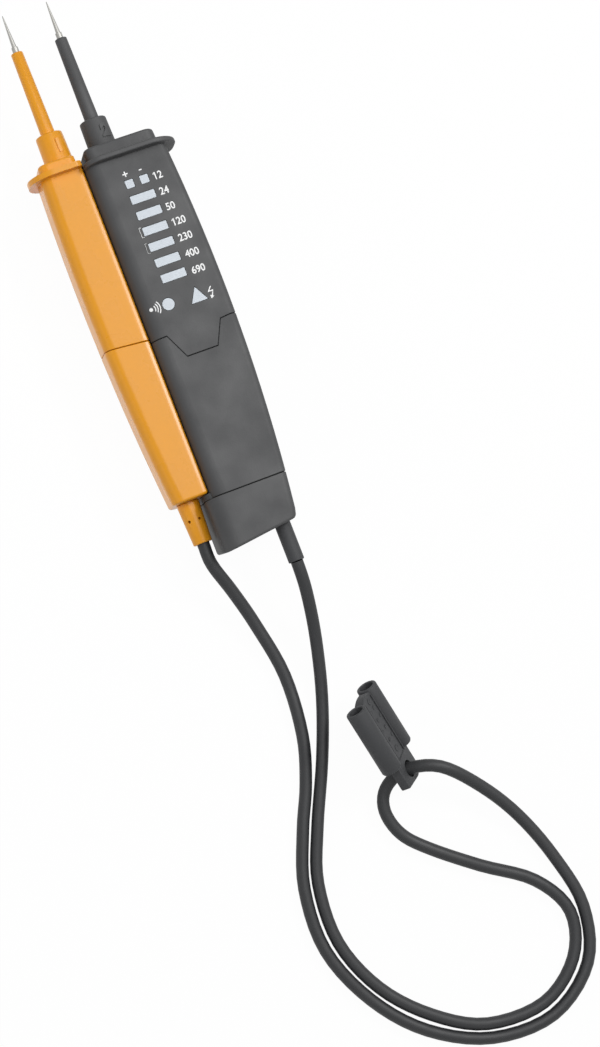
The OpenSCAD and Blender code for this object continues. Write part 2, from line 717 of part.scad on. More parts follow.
// Slant of the cap's end from the front to the back
cap_slant = 3.6;
function cap_ring(y, inset) = ring(y, dock_x - cap_out + inset, meter_side_x(y) - inset, inset, meter_d - inset,
    meter_back_r - inset, meter_front_r - inset, cap_dock_r - inset);
module cap_outline(y_high, y_low) {
    loft([for (y = concat(stations(y_high, y_low + cap_edge), [y_low])) cap_ring(y, y == y_low ? cap_edge / 2 : 0)]);
}
module battery_cap() {
    floor_y = cap_end_y + cap_rise + cap_floor;
    color(black_abs) difference() {
        union() {
            difference() {
                cap_outline(cap_top_y, cap_end_y);
                meter_form(cap_top_y + overrun, floor_y, wall);
            }
            difference() {
                meter_band(cap_top_y + cap_lip_l, cap_top_y - cap_lip_l, wall + cap_lip_clear, wall + cap_clear + cap_lip_t);
                block([cap_screw_x - cap_boss_d / 2 - cap_clear, cap_top_y, cap_screw_z],
                    [cap_screw_x + cap_boss_d / 2 + cap_clear, cap_top_y + cap_lip_l + overrun, meter_d]);
            }
            meter_band(cap_top_y - cap_lip_t, cap_top_y - cap_lip_l, wall - root_in, wall + cap_clear + cap_lip_t);
            bar(cap_screw_x, cap_screw_z, cap_top_y - fit_gap, floor_y - root_in, cap_pillar_d / 2, cap_pillar_d / 2);
            block([cell_places[0], floor_y - root_in, cell_z - post_t / 2],
                [cell_places[1], bridge_y - bridge_t - fit_gap / 2, cell_z + post_t / 2]);
        }
        translate([0, cap_end_y, meter_d]) rotate([cap_slant, 0, 0]) translate([0, 0, -meter_d - cap_rise])
            linear_extrude(meter_d + 2 * cap_rise) polygon([[dock_x - cap_out - overrun, -cap_l], [dock_x - cap_out - overrun, 0],
                [dock_x - cap_out, 0], [meter_side_x(cap_end_y), cap_rise],
                [meter_side_x(cap_end_y) + 2 * overrun, cap_rise], [meter_side_x(cap_end_y) + 2 * overrun, -cap_l]]);
        bar(boot_x, boot_z, cap_top_y + cap_lip_l + overrun, cap_end_y - overrun, boot_d / 2 + cap_clear, boot_d / 2 + cap_clear);
        bar(cap_screw_x, cap_screw_z, cap_top_y + overrun, cap_end_y - overrun,
            cap_screw_d / 2 + fit_gap, cap_screw_d / 2 + fit_gap);
        bar(cap_screw_x, cap_screw_z, cap_screw_seat_y, cap_end_y - overrun,
            cap_screw_head_d / 2 + fit_gap, cap_screw_head_d / 2 + fit_gap);
    }
}
cap_screw_seat_y = cap_end_y + cap_rise + cap_head_sink + cap_screw_head_h;
module cap_screw() {
    color(steel) difference() {
        union() {
            bar(cap_screw_x, cap_screw_z, cap_screw_seat_y - fit_gap, cap_screw_seat_y - fit_gap - cap_screw_head_h,
                cap_screw_head_d / 2, cap_screw_head_d / 2);
            bar(cap_screw_x, cap_screw_z, cap_top_y + insert_l - overrun, cap_screw_seat_y - fit_gap,
                cap_screw_d / 2, cap_screw_d / 2);
        }
        block([cap_screw_x - cap_screw_head_d / 2, cap_screw_seat_y - fit_gap - cap_screw_head_h - overrun, cap_screw_z - slot_w / 2],
            [cap_screw_x + cap_screw_head_d / 2, cap_screw_seat_y - fit_gap - cap_screw_head_h / 2, cap_screw_z + slot_w / 2]);
    }
}
slot_w = 0.8;
module screw_insert() {
    color(brass) difference() {
        bar(cap_screw_x, cap_screw_z, cap_top_y + seam_gap + insert_l, cap_top_y + seam_gap, insert_d / 2, insert_d / 2);
        bar(cap_screw_x, cap_screw_z, cap_top_y + insert_l + overrun, cap_top_y - overrun,
            cap_screw_d / 2 + fit_gap / 2, cap_screw_d / 2 + fit_gap / 2);
    }
}
cap_seal_t = 0.8;
// Room that the seal leaves to the housing, whose side draws in towards its end
cap_seal_clear = 0.5;
module cap_seal() {
    color(rubber_black) difference() {
        meter_band(cap_top_y + cap_lip_l + fit_gap + cap_seal_t, cap_top_y + cap_lip_l + fit_gap,
            wall + cap_seal_clear, wall + cap_clear + cap_lip_t);
        block([cap_screw_x - cap_boss_d / 2 - cap_clear, cap_top_y, cap_screw_z],
            [cap_screw_x + cap_boss_d / 2 + cap_clear, cap_top_y + cap_lip_l + cap_boss_l, meter_d]);
    }
}

// Cable boot of the meter, the clamp that holds it and the cable's end inside
boot_collar_d = 9;
boot_collar_t = 2;
boot_top_in = 5.5;
boot_top_y = cap_top_y + boot_top_in;
clamp_t = 3.5;
clamp_w = 8;
clamp_wall = 1.9;
clamp_y = boot_top_y + fit_gap;
tail_end_in = 1;
module cable_boot() {
    color(rubber_black) difference() {
        union() {
            bar(boot_x, boot_z, boot_top_y, boot_top_y - boot_collar_t, boot_collar_d / 2, boot_collar_d / 2);
            bar(boot_x, boot_z, boot_top_y - boot_collar_t, boot_end_y, boot_d / 2, boot_d / 2);
        }
        bar(boot_x, boot_z, boot_top_y + overrun, boot_end_y - overrun, cable_d / 2 + fit_gap / 2, cable_d / 2 + fit_gap / 2);
    }
}
module clamp_seat_cut() {
    bar(boot_x, boot_z, boot_top_y + overrun, cap_top_y - overrun, boot_collar_d / 2 + fit_gap, boot_collar_d / 2 + fit_gap);
}
module meter_cable_clamp() {
    color("dimgray") intersection() {
        meter_form(clamp_y + clamp_t, clamp_y, wall + fit_gap);
        difference() {
            block([boot_x - clamp_w / 2, clamp_y, boot_z - cable_d / 2 - clamp_wall], [boot_x + clamp_w, clamp_y + clamp_t, meter_d - wall]);
            bar(boot_x, boot_z, clamp_y + clamp_t + overrun, clamp_y - overrun, cable_d / 2 + fit_gap, cable_d / 2 + fit_gap);
        }
    }
}
module meter_cable_tail() {
    color(cable_black) bar(boot_x, boot_z, clamp_y + clamp_t + tail_end_in, boot_end_y, cable_d / 2, cable_d / 2);
}
lead_d = 1.4;
lead_rise_in = 3;
lead_z = board_z - lead_d / 2 - fit_gap;
module meter_leads() {
    low_y = clamp_y + clamp_t + tail_end_in;
    color("firebrick") for (side = [-1, 1]) {
        bar(boot_x + side * lead_d / 2, lead_z, board_end_y + lead_rise_in, low_y, lead_d / 2, lead_d / 2);
        translate([boot_x + side * lead_d / 2, board_end_y + lead_rise_in, lead_z]) cylinder(h = board_z - lead_z, r = lead_d / 2);
    }
}

// Second probe, its housings and what they hold
module below_probe_seam(drop) {
    far_x = dock_x - probe_guard_w - overrun;
    linear_extrude(meter_d) polygon([[far_x, probe_seam_y - drop], [dock_x, probe_seam_y - probe_seam_drop - drop],
        [dock_x, probe_end_y - relief_l], [far_x, probe_end_y - relief_l]]);
}
module probe_slots() {
    for (y = dock_places) dock_boss(y, dock_slot_gap);
}
probe_screw_x = dock_x - probe_w / 2;
probe_screw_y = probe_seam_y + screw_y_in;
probe_low_y = probe_seam_y - probe_seam_drop;
module probe_upper_housing() {
    color(amber_abs) difference() {
        union() {
            difference() {
                probe_form(probe_top_y, probe_low_y, 0);
                probe_form(probe_top_y - wall, probe_low_y - overrun, wall);
                below_probe_seam(0);
            }
            guard_plate(dock_x - probe_guard_w, probe_dock_x, meter_d, probe_guard_y, guard_r, guard_free_r);
            shoulder_block(dock_x - probe_guard_w + probe_block_side, probe_dock_x - block_edge / 2,
                probe_back_z, probe_front_z - block_edge, block_top_y, probe_guard_y - root_in, 0);
        }
        bar(probe_x, tip_z, block_top_y + overrun, probe_top_y - wall - overrun, needle_d / 2 + fit_gap, needle_d / 2 + fit_gap);
        probe_slots();
        back_screw(probe_screw_x, probe_screw_y, probe_back_z, fit_gap);
        translate([0, 0, tip_z + hook_l - dock_slot_gap]) linear_extrude(hook_l + 2 * dock_slot_gap)
            translate([dock_x - hook_out / 2 - dock_slot_gap, meter_guard_y - guard_t]) square([hook_out, meter_block_h + guard_t]);
    }
}
module probe_lower_housing() {
    color(amber_abs) difference() {
        union() {
            difference() {
                intersection() {
                    difference() {
                        cap_free_form();
                        probe_form(probe_seam_y + overrun, probe_end_y + wall, wall);
                    }
                    below_probe_seam(seam_gap);
                }
            }
            probe_band(probe_seam_y + probe_spigot_l, probe_low_y - spigot_root, spigot_inset, spigot_inset + spigot_t);
            probe_band(probe_low_y - seam_gap - fit_gap, probe_low_y - spigot_root, wall - root_in, spigot_inset + spigot_t);
            translate([probe_screw_x, probe_screw_y, probe_back_z + spigot_inset]) cylinder(h = screw_boss_l, r = screw_boss_d / 2);
        }
        probe_slots();
        back_screw(probe_screw_x, probe_screw_y, probe_back_z, fit_gap);
        bar(relief_x, tip_z, probe_end_y + wall + overrun, probe_end_y - overrun, relief_neck_d / 2 + fit_gap, relief_neck_d / 2 + fit_gap);
    }
}
module cap_free_form() {
    loft([for (y = concat(stations(probe_seam_y, probe_end_y + cap_edge), [probe_end_y]))
        probe_ring(y, y == probe_end_y ? cap_edge / 2 : 0)]);
}
module probe_seal() {
    color(rubber_black) probe_band(probe_seam_y + probe_spigot_l + fit_gap + seal_t, probe_seam_y + probe_spigot_l + fit_gap,
        spigot_inset, spigot_inset + spigot_t);
}
module probe_screw() {
    color(steel) back_screw(probe_screw_x, probe_screw_y, probe_back_z, 0);
}
module probe_needle() { needle(probe_x); }
module probe_sleeve() { sleeve(probe_x, amber_abs); }
module probe_collar() { collar(probe_x, amber_abs); }
probe_board_w = 8;
probe_board_in = 4.6;
probe_board_end_in = 30;
probe_board_end_y = probe_end_y + probe_board_end_in;
probe_board_low_x = dock_x - probe_board_in - probe_board_w;
module probe_board() {
    color(board_green) block([probe_board_low_x, probe_board_end_y, board_z],
        [probe_board_low_x + probe_board_w, board_top_y, board_z + board_t]);
}
probe_resistor_gap = 18;
probe_resistor_in = 16;
probe_resistor_count = 3;
module probe_resistors() {
    color("tan") for (i = [0:probe_resistor_count - 1])
        bar(probe_board_low_x + probe_board_w / 2, board_z - resistor_d / 2, board_top_y - probe_resistor_in - i * probe_resistor_gap,
            board_top_y - probe_resistor_in - i * probe_resistor_gap - resistor_l, resistor_d / 2, resistor_d / 2);
}
module probe_tip_clip() { stem_clip(probe_x); }
spring_leaf_t = 0.5;
leaf_foot = 2.5;
module dock_springs() {
    leaf_x = dock_x - dock_boss_out - dock_slot_gap - spring_leaf_t;
    color(steel) for (y = dock_places) {
        block([leaf_x - spring_leaf_t, y - dock_boss_l / 2 - leaf_foot, meter_mid_z - dock_boss_h / 2],
            [leaf_x, y + dock_boss_l / 2 + leaf_foot, meter_mid_z + dock_boss_h / 2]);
        for (end = [-1, 1]) block(
            [leaf_x - spring_leaf_t, y + end * (dock_boss_l / 2 + leaf_foot) - spring_leaf_t, meter_mid_z - dock_boss_h / 2],
            [probe_dock_x - wall - fit_gap / 2, y + end * (dock_boss_l / 2 + leaf_foot) + spring_leaf_t, meter_mid_z + dock_boss_h / 2]);
    }
}

// Strain relief of the probe, its clamp and the cable's end inside
relief_neck_d = 7.4;
relief_collar_d = 9.4;
relief_collar_t = 2;
relief_pin_d = 1;
relief_pin_in = 7;
relief_pin_depth = 1.6;
relief_pin_turn = 32;
module probe_relief() {
    top_y = probe_end_y + wall + fit_gap;
    color(amber_abs) difference() {
        union() {
            bar(relief_x, tip_z, top_y + relief_collar_t, top_y, relief_collar_d / 2, relief_collar_d / 2);
            bar(relief_x, tip_z, top_y, probe_end_y - fit_gap, relief_neck_d / 2, relief_neck_d / 2);
            bar(relief_x, tip_z, probe_end_y - fit_gap, relief_end_y + cap_edge, relief_top_d / 2, relief_end_d / 2);
            bar(relief_x, tip_z, relief_end_y + cap_edge, relief_end_y, relief_end_d / 2, relief_end_d / 2 - cap_edge / 2);
        }
        bar(relief_x, tip_z, top_y + relief_collar_t + overrun, relief_end_y - overrun,
            cable_d / 2 + fit_gap / 2, cable_d / 2 + fit_gap / 2);
        for (side = [-1, 1]) translate([relief_x, probe_end_y - relief_pin_in, tip_z]) rotate([0, side * relief_pin_turn, 0])
            translate([0, 0, relief_top_d / 2 - relief_pin_depth]) cylinder(h = relief_pin_depth + overrun, r = relief_pin_d / 2);
    }
}
probe_clamp_w = 9;
probe_clamp_y = probe_end_y + wall + relief_collar_t + 2 * fit_gap;
module probe_cable_clamp() {
    color("dimgray") intersection() {
        probe_form(probe_clamp_y + clamp_t, probe_clamp_y, wall + fit_gap);
        difference() {
            block([relief_x - probe_clamp_w / 2, probe_clamp_y, probe_back_z],
                [relief_x + probe_clamp_w / 2, probe_clamp_y + clamp_t, probe_front_z]);
            bar(relief_x, tip_z, probe_clamp_y + clamp_t + overrun, probe_clamp_y - overrun, cable_d / 2 + fit_gap, cable_d / 2 + fit_gap);
        }
    }
}
module probe_cable_tail() {
    color(cable_black) bar(relief_x, tip_z, probe_clamp_y + clamp_t + tail_end_in, relief_end_y, cable_d / 2, cable_d / 2);
}
module probe_lead() {
    low_y = probe_clamp_y + clamp_t + tail_end_in;
    color("firebrick") {
        bar(relief_x, tip_z, probe_board_end_y + lead_rise_in, low_y, lead_d / 2, lead_d / 2);
        translate([relief_x, probe_board_end_y + lead_rise_in, tip_z]) cylinder(h = board_z - tip_z, r = lead_d / 2);
    }
}

// Route of the cable from the probe round to the meter, which runs through the eyelet of the tip cover
route = [[-16.2, -114, 14.5], [-11.6, -127, 10], [-7, -143, 5.5], [-3, -166, 3], [-5, -191, 2.7],
    [-11, -210, 2.7], [-19, -227, 2.7], [-27, -249, 2.7], [-28, -275, 2.7], [-18, -300, 2.7],
    [-1, -320, 2.7], [23, -333, 2.7], [50, -334, 2.7], [71, -320, 2.7], [78, -298, 2.7],
    [74, -275, 3], [66, -254, 5], [55, -237, 9], [41, -223, 14.5], [28, -219.3, 9.5],
    [18.5, -223.5, 5.5], [15, -232, 4], [18, -243, 3], [27, -253, 2.7], [44, -267, 2.7],
    [63, -281, 2.7], [72, -298, 2.7], [66, -316, 2.7], [48, -328, 2.7], [23, -327, 2.7],
    [3, -315, 2.7], [-13, -297, 2.7], [-22, -274, 2.7], [-21, -249, 2.7], [-13, -228, 2.7],
    [-1, -203, 2.7], [8, -180, 3], [13.5, -157, 8], [15.5, -138, 16]];
cable_start = [relief_x, relief_end_y, tip_z];
cable_end = [boot_x, boot_end_y, boot_z];
// Length of straight run that the ends are aimed along
lead_out = 12;
knots = concat([cable_start + [0, lead_out, 0], cable_start], route, [cable_end, cable_end + [0, lead_out, 0]]);
cable_sides = 10;
// Smooth curve through the knots, and its direction
function curve(a, b, c, d, t) = 0.5 * (2 * b + (c - a) * t + (2 * a - 5 * b + 4 * c - d) * t * t
    + (3 * b - a - 3 * c + d) * t * t * t);
function curve_way(a, b, c, d, t) = 0.5 * ((c - a) + 2 * (2 * a - 5 * b + 4 * c - d) * t
    + 3 * (3 * b - a - 3 * c + d) * t * t);
function unit(v) = v / norm(v);
function tube_ring(p, way, r) = let (side = unit(cross(way, [0, 0, 1])), up = unit(cross(side, way)))
    [for (i = [0:cable_sides - 1]) p + r * (side * cos(i * 360 / cable_sides) + up * sin(i * 360 / cable_sides))];
module connecting_cable() {
    last = len(knots) - 3;
    color(cable_black) loft(concat(
        [tube_ring(cable_start, [0, -1, 0], cable_d / 2)],
        [for (k = [1:last]) for (t = k == 1 ? [0.5] : [0, 0.5]) tube_ring(
            curve(knots[k - 1], knots[k], knots[k + 1], knots[k + 2], t),
            unit(curve_way(knots[k - 1], knots[k], knots[k + 1], knots[k + 2], t)), cable_d / 2)],
        [tube_ring(cable_end, [0, 1, 0], cable_d / 2)]));
}

// Tip cover: two tubes, the web between them and the tongue with the eyelet
cover_place = [28, -219.3, 9.5];
cover_turn = [28, 48, 36];
tube_low = tongue_l / 2;
cover_floor = 2;
web_short = 3;
module cover_tube(side) {
    translate([side * tip_gap / 2, tube_low, 0]) rotate([-90, 0, 0]) cylinder(h = cover_l, r = cover_od / 2);
}
module tip_cover() {
    color(rubber_black) translate(cover_place) rotate(cover_turn) difference() {
        union() {
            for (side = [-1, 1]) cover_tube(side);
            translate([0, 0, -web_t / 2]) linear_extrude(web_t) {
                translate([-tip_gap / 2, tube_low]) square([tip_gap, cover_l - web_short]);
                translate([-tongue_l / 2, 0]) square([tongue_l, tube_low + overrun]);
                circle(r = tongue_l / 2);
            }
        }
        for (side = [-1, 1]) translate([side * tip_gap / 2, tube_low + cover_floor, 0])
            rotate([-90, 0, 0]) cylinder(h = cover_l, r = cover_id / 2);
        translate([0, 0, -web_t]) cylinder(h = 2 * web_t, r = eyelet_d / 2);
    }
}

upper_housing();
lower_housing();
battery_cap();
meter_needle();
meter_sleeve();
meter_collar();
voltage_windows();
sign_windows();
sound_window();
danger_window();
light_frame();
lamps();
circuit_board();
processor_chips();
input_resistors();
buzzer();
tip_clip();
seam_seal();
housing_screws();
battery_tray();
battery_cells();
battery_contacts();
battery_springs();
battery_bridge();
cap_seal();
cap_screw();
screw_insert();
cable_boot();
meter_cable_clamp();
meter_cable_tail();
meter_leads();
probe_upper_housing();
probe_lower_housing();
probe_needle();
probe_sleeve();
probe_collar();
probe_board();
probe_resistors();
probe_tip_clip();
probe_seal();
probe_screw();
dock_springs();
probe_relief();
probe_cable_clamp();
probe_cable_tail();
probe_lead();
connecting_cable();
tip_cover();
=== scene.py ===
"""Two-pole voltage tester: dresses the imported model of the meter, its docked second probe and their cable.

It is laid out as an add-on and run as a script. Each operator makes one group of pieces, in millimetres,
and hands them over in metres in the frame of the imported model.
"""

import math

import bmesh
import bpy
from bpy.props import FloatProperty, FloatVectorProperty, PointerProperty
from mathutils import Euler, Matrix, Vector


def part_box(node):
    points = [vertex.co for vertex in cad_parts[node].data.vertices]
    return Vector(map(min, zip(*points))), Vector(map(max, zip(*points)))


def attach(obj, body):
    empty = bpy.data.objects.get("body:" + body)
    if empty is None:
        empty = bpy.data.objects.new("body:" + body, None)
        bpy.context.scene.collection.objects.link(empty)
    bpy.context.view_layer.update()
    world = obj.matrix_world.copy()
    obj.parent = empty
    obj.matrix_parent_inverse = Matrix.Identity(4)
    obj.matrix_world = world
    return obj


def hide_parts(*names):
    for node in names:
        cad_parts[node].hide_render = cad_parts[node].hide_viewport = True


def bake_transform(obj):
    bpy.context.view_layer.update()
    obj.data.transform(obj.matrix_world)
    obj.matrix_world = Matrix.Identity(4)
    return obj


bl_info = {
    "name": "Two-Pole Voltage Tester",
    "version": (1, 0, 0),
    "blender": (4, 5, 0),
    "location": "View3D > Sidebar > Tester",
    "description": "Dresses the packed two-pole voltage tester with moulded, turned and printed pieces",
    "category": "Add Mesh",
}

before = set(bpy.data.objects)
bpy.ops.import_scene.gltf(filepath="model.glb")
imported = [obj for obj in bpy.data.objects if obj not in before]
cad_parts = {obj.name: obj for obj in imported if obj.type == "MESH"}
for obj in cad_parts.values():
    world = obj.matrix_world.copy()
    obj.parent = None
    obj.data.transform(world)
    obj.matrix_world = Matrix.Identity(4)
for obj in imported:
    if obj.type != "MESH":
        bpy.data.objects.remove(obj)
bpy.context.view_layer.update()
MM = 0.001


def box_mm(name):
    """Gives the low and high corner of a CAD node in millimetres."""
    return [[n / MM for n in corner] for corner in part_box(name)]


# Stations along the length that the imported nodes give, from the tips down
POINT_Y = box_mm("meter_needle")[1][1]
SLEEVE_TOP_Y = box_mm("meter_sleeve")[1][1]
COLLAR = box_mm("meter_collar")
PROBE_COLLAR = box_mm("probe_collar")
METER_AXIS_X = (COLLAR[0][0] + COLLAR[1][0]) / 2
PROBE_AXIS_X = (PROBE_COLLAR[0][0] + PROBE_COLLAR[1][0]) / 2
TIP_Z = (COLLAR[0][2] + COLLAR[1][2]) / 2
BOOT = box_mm("cable_boot")
RELIEF = box_mm("probe_relief")

# Stations that lie inside the nodes' boxes
DOCK_X = -8.4
PROBE_DOCK_X = -8.7
BLOCK_TOP_Y = 59.7
METER_GUARD_Y = 53.8
PROBE_GUARD_Y = 55.5
SEAM_Y = -23.1
STEP_Y = -33.5
CAP_TOP_Y = -90.2
CAP_END_Y = -112.8
CAP_RISE = 3.8
CAP_DOCK_X = -11.0
PROBE_SEAM_Y = -19.5
PROBE_END_Y = -87.3
FRONT_Z = 30.0
PROBE_BACK_Z = 4.0
PROBE_FRONT_Z = 26.0
BOOT_AXIS = [(BOOT[0][i] + BOOT[1][i]) / 2 for i in (0, 2)]
RELIEF_AXIS = [(RELIEF[0][i] + RELIEF[1][i]) / 2 for i in (0, 2)]
CAP_SCREW = (1.0, 21.5)
# Radii round the cap's screw: room for its shank, its head and its insert, then the boss and the pillar
SHANK_R, HEAD_R, INSERT_R, BOSS_R, PILLAR_R = 1.65, 2.95, 2.45, 4, 3.5
BOSS_TOP_Y = CAP_TOP_Y + 8.25
INSERT_TOP_Y = CAP_TOP_Y + 6.4
# How far the inner faces of the spigots and of the cap's lip lie inside the walls
SPIGOT = 1.35
LIP = 1.5
# Places across the meter where the seam turns into its step and out of it
STEP_X = (-2.3, 2.6, 15.9, 20.8)

# Knots of the cable's route from the relief round to the boot
ROUTE = [
    (-16.2, -114, 14.5), (-11.6, -127, 10), (-7, -143, 5.5), (-3, -166, 3), (-5, -191, 2.7),
    (-11, -210, 2.7), (-19, -227, 2.7), (-27, -249, 2.7), (-28, -275, 2.7), (-18, -300, 2.7),
    (-1, -320, 2.7), (23, -333, 2.7), (50, -334, 2.7), (71, -320, 2.7), (78, -298, 2.7),
    (74, -275, 3), (66, -254, 5), (55, -237, 9), (41, -223, 14.5), (28, -219.3, 9.5),
    (18.5, -223.5, 5.5), (15, -232, 4), (18, -243, 3), (27, -253, 2.7), (44, -267, 2.7),
    (63, -281, 2.7), (72, -298, 2.7), (66, -316, 2.7), (48, -328, 2.7), (23, -327, 2.7),
    (3, -315, 2.7), (-13, -297, 2.7), (-22, -274, 2.7), (-21, -249, 2.7), (-13, -228, 2.7),
    (-1, -203, 2.7), (8, -180, 3), (13.5, -157, 8), (15.5, -138, 16),
]
COVER_PLACE = (28.0, -219.3, 9.5)
COVER_TURN = (28.0, 48.0, 36.0)


def linear(code):
    """Turns an sRGB hex colour into the linear colour that shaders take."""
    parts = [int(code[i:i + 2], 16) / 255 for i in (1, 3, 5)]
    return tuple(p / 12.92 if p <= 0.04045 else ((p + 0.055) / 1.055) ** 2.4 for p in parts) + (1.0,)


def length(name, description, millimetres):
    """Describes a length that a user may change."""
    return FloatProperty(name=name, description=description, default=millimetres * MM,
                         min=0, soft_max=4 * millimetres * MM, precision=5, unit="LENGTH")


def colour(name, description, code):
    """Describes a colour that a user may change."""
    return FloatVectorProperty(name=name, description=description, default=linear(code),
                               size=4, min=0, max=1, subtype="COLOR")


class TesterSizes(bpy.types.PropertyGroup):
    """Lengths of the dressed pieces"""
    wall: length("Wall", "Thickness of all housings", 2.0)
    side_radius: length("Meter side radius", "Radius of the long curve on its free side", 770.0)
    probe_side_radius: length("Probe side radius", "Radius of the long curve on its free side", 1100.0)
    front_radius: length("Front radius", "Radius of the meter's front edge on the free side", 3.0)
    dock_radius: length("Dock radius", "Radius of the meter's front edge on the dock side", 5.6)
    back_radius: length("Back radius", "Radius of the meter's back edges", 4.0)
    cap_radius: length("Cap radius", "Radius of the battery cap's front edge on the dock side", 6.7)
    probe_radius: length("Probe radius", "Radius of the probe's long edges", 5.0)
    slant: length("Slant", "Width of the slanted front edge of the probe beside the meter", 2.4)
    seam_gap: length("Seam gap", "Open line between two housings", 0.25)
    seam_edge: length("Seam edge", "Rounding of the edges along a seam", 0.35)
    end_edge: length("End edge", "Rounding of the lower ends of the cap and the probe", 1.2)
    guard: length("Guard", "Thickness of the finger guards", 2.2)
    guard_radius: length("Guard radius", "Corner radius of the finger guards", 7.0)
    guard_free_radius: length("Guard free radius", "Radius of the guards' free front corners", 11.0)
    guard_back_radius: length("Guard back radius", "Radius of the guards' free back corners", 17.0)
    guard_edge: length("Guard edge", "Rounding of the guards' rims", 0.7)
    block_edge: length("Block edge", "Rounding of the shoulder blocks' upper edge", 1.0)
    needle: length("Needle", "Diameter of the needle's foot", 2.7)
    sleeve_root: length("Sleeve root", "Diameter of the sleeve where it leaves the collar", 6.0)
    window_gap: length("Window gap", "Open line round a window", 0.15)
    window_sink: length("Window sink", "How far the windows lie below the front face", 0.1)
    figure: length("Figure", "Height of the printed figures", 3.1)
    print: length("Print", "Thickness of the printed layer", 0.02)
    cable: length("Cable", "Diameter of the cable", 5.2)
    cover_tube: length("Cover tube", "Outer diameter of a tube of the tip cover", 8.7)
    cover_bore: length("Cover bore", "Bore of a tube of the tip cover", 6.0)


class TesterColours(bpy.types.PropertyGroup):
    """Colours of the dressed pieces"""
    black: colour("Black housing", "Meter's housings, guard and collar", "#191a1c")
    amber: colour("Amber housing", "Second probe's housings, guard and collar", "#e4991a")
    window: colour("Window", "Milky windows of the dial", "#c3cbd3")
    cable: colour("Cable", "Sheath of the cable", "#202123")
    cover: colour("Tip cover", "Moulded tip cover", "#333436")
    print: colour("Print", "Printed figures and signs", "#f4f5f5")


def mm(value):
    """Turns a length in metres into millimetres."""
    return value / MM


def sizes():
    """Gives the scene's sizes."""
    return bpy.context.scene.tester_sizes


# Materials


def node(tree, kind, sockets=None, **settings):
    """Adds one node, sets its settings and fills or links its inputs."""
    made = tree.nodes.new(kind)
    for name, value in settings.items():
        setattr(made, name, value)
    for name, value in (sockets or {}).items():
        if isinstance(value, bpy.types.NodeSocket):
            tree.links.new(value, made.inputs[name])
        else:
            made.inputs[name].default_value = value
    return made


def blank(name):
    """Starts a material and gives it with its tree, its shader and its place in object coordinates."""
    made = bpy.data.materials.new(name)
    made.use_nodes = True
    tree = made.node_tree
    shader = tree.nodes["Principled BSDF"]
    place = node(tree, "ShaderNodeTexCoord").outputs["Object"]
    return made, tree, shader, place


def shift(tone, share):
    """Gives a colour made lighter or darker by a share."""
    return tuple(min(1.0, c * (1 + share)) for c in tone[:3]) + (1.0,)


def moulded(name, tone, roughness, grain, depth, mottle=0.06, spread=0.06, level=0.5):
    """Makes a moulded plastic or rubber with its grain in millimetres and a faint mottling of its tone."""
    made, tree, shader, place = blank(name)
    fine = node(tree, "ShaderNodeTexNoise", {"Vector": place, "Scale": 1 / (grain * MM), "Detail": 3.0})
    broad = node(tree, "ShaderNodeTexNoise", {"Vector": place, "Scale": 1 / (14 * MM), "Detail": 4.0})
    both = node(tree, "ShaderNodeMix", {"Factor": 0.45, "A": broad.outputs["Fac"], "B": fine.outputs["Fac"]})
    tint = node(tree, "ShaderNodeValToRGB", {"Fac": both.outputs["Result"]})
    tint.color_ramp.elements[0].position = 0.34
    tint.color_ramp.elements[0].color = shift(tone, -mottle)
    tint.color_ramp.elements[1].position = 0.66
    tint.color_ramp.elements[1].color = shift(tone, mottle)
    rough = node(tree, "ShaderNodeMapRange", {"Value": broad.outputs["Fac"], "From Min": 0.3, "From Max": 0.7,
                                              "To Min": roughness - spread, "To Max": roughness + spread})
    bump = node(tree, "ShaderNodeBump", {"Height": fine.outputs["Fac"], "Distance": depth * MM,
                                         "Strength": 1.0})
    tree.links.new(tint.outputs["Color"], shader.inputs["Base Color"])
    tree.links.new(rough.outputs["Result"], shader.inputs["Roughness"])
    tree.links.new(bump.outputs["Normal"], shader.inputs["Normal"])
    shader.inputs["Specular IOR Level"].default_value = level
    return made


def metal(name, tone, roughness, streak, depth):
    """Makes a drawn or ground metal whose fine scratches follow the given stretch of the pattern."""
    made, tree, shader, place = blank(name)
    drawn = node(tree, "ShaderNodeMapping", {"Vector": place, "Scale": streak}).outputs["Vector"]
    lines = node(tree, "ShaderNodeTexNoise", {"Vector": drawn, "Scale": 1 / (0.5 * MM), "Detail": 2.0})
    rough = node(tree, "ShaderNodeMapRange", {"Value": lines.outputs["Fac"], "To Min": roughness - 0.08,
                                              "To Max": roughness + 0.1})
    tint = node(tree, "ShaderNodeValToRGB", {"Fac": lines.outputs["Fac"]})
    tint.color_ramp.elements[0].color = shift(tone, -0.12)
    tint.color_ramp.elements[1].color = shift(tone, 0.06)
    bump = node(tree, "ShaderNodeBump", {"Height": lines.outputs["Fac"], "Distance": depth * MM})
    tree.links.new(tint.outputs["Color"], shader.inputs["Base Color"])
    tree.links.new(rough.outputs["Result"], shader.inputs["Roughness"])
    tree.links.new(bump.outputs["Normal"], shader.inputs["Normal"])
    shader.inputs["Metallic"].default_value = 1.0
    return made


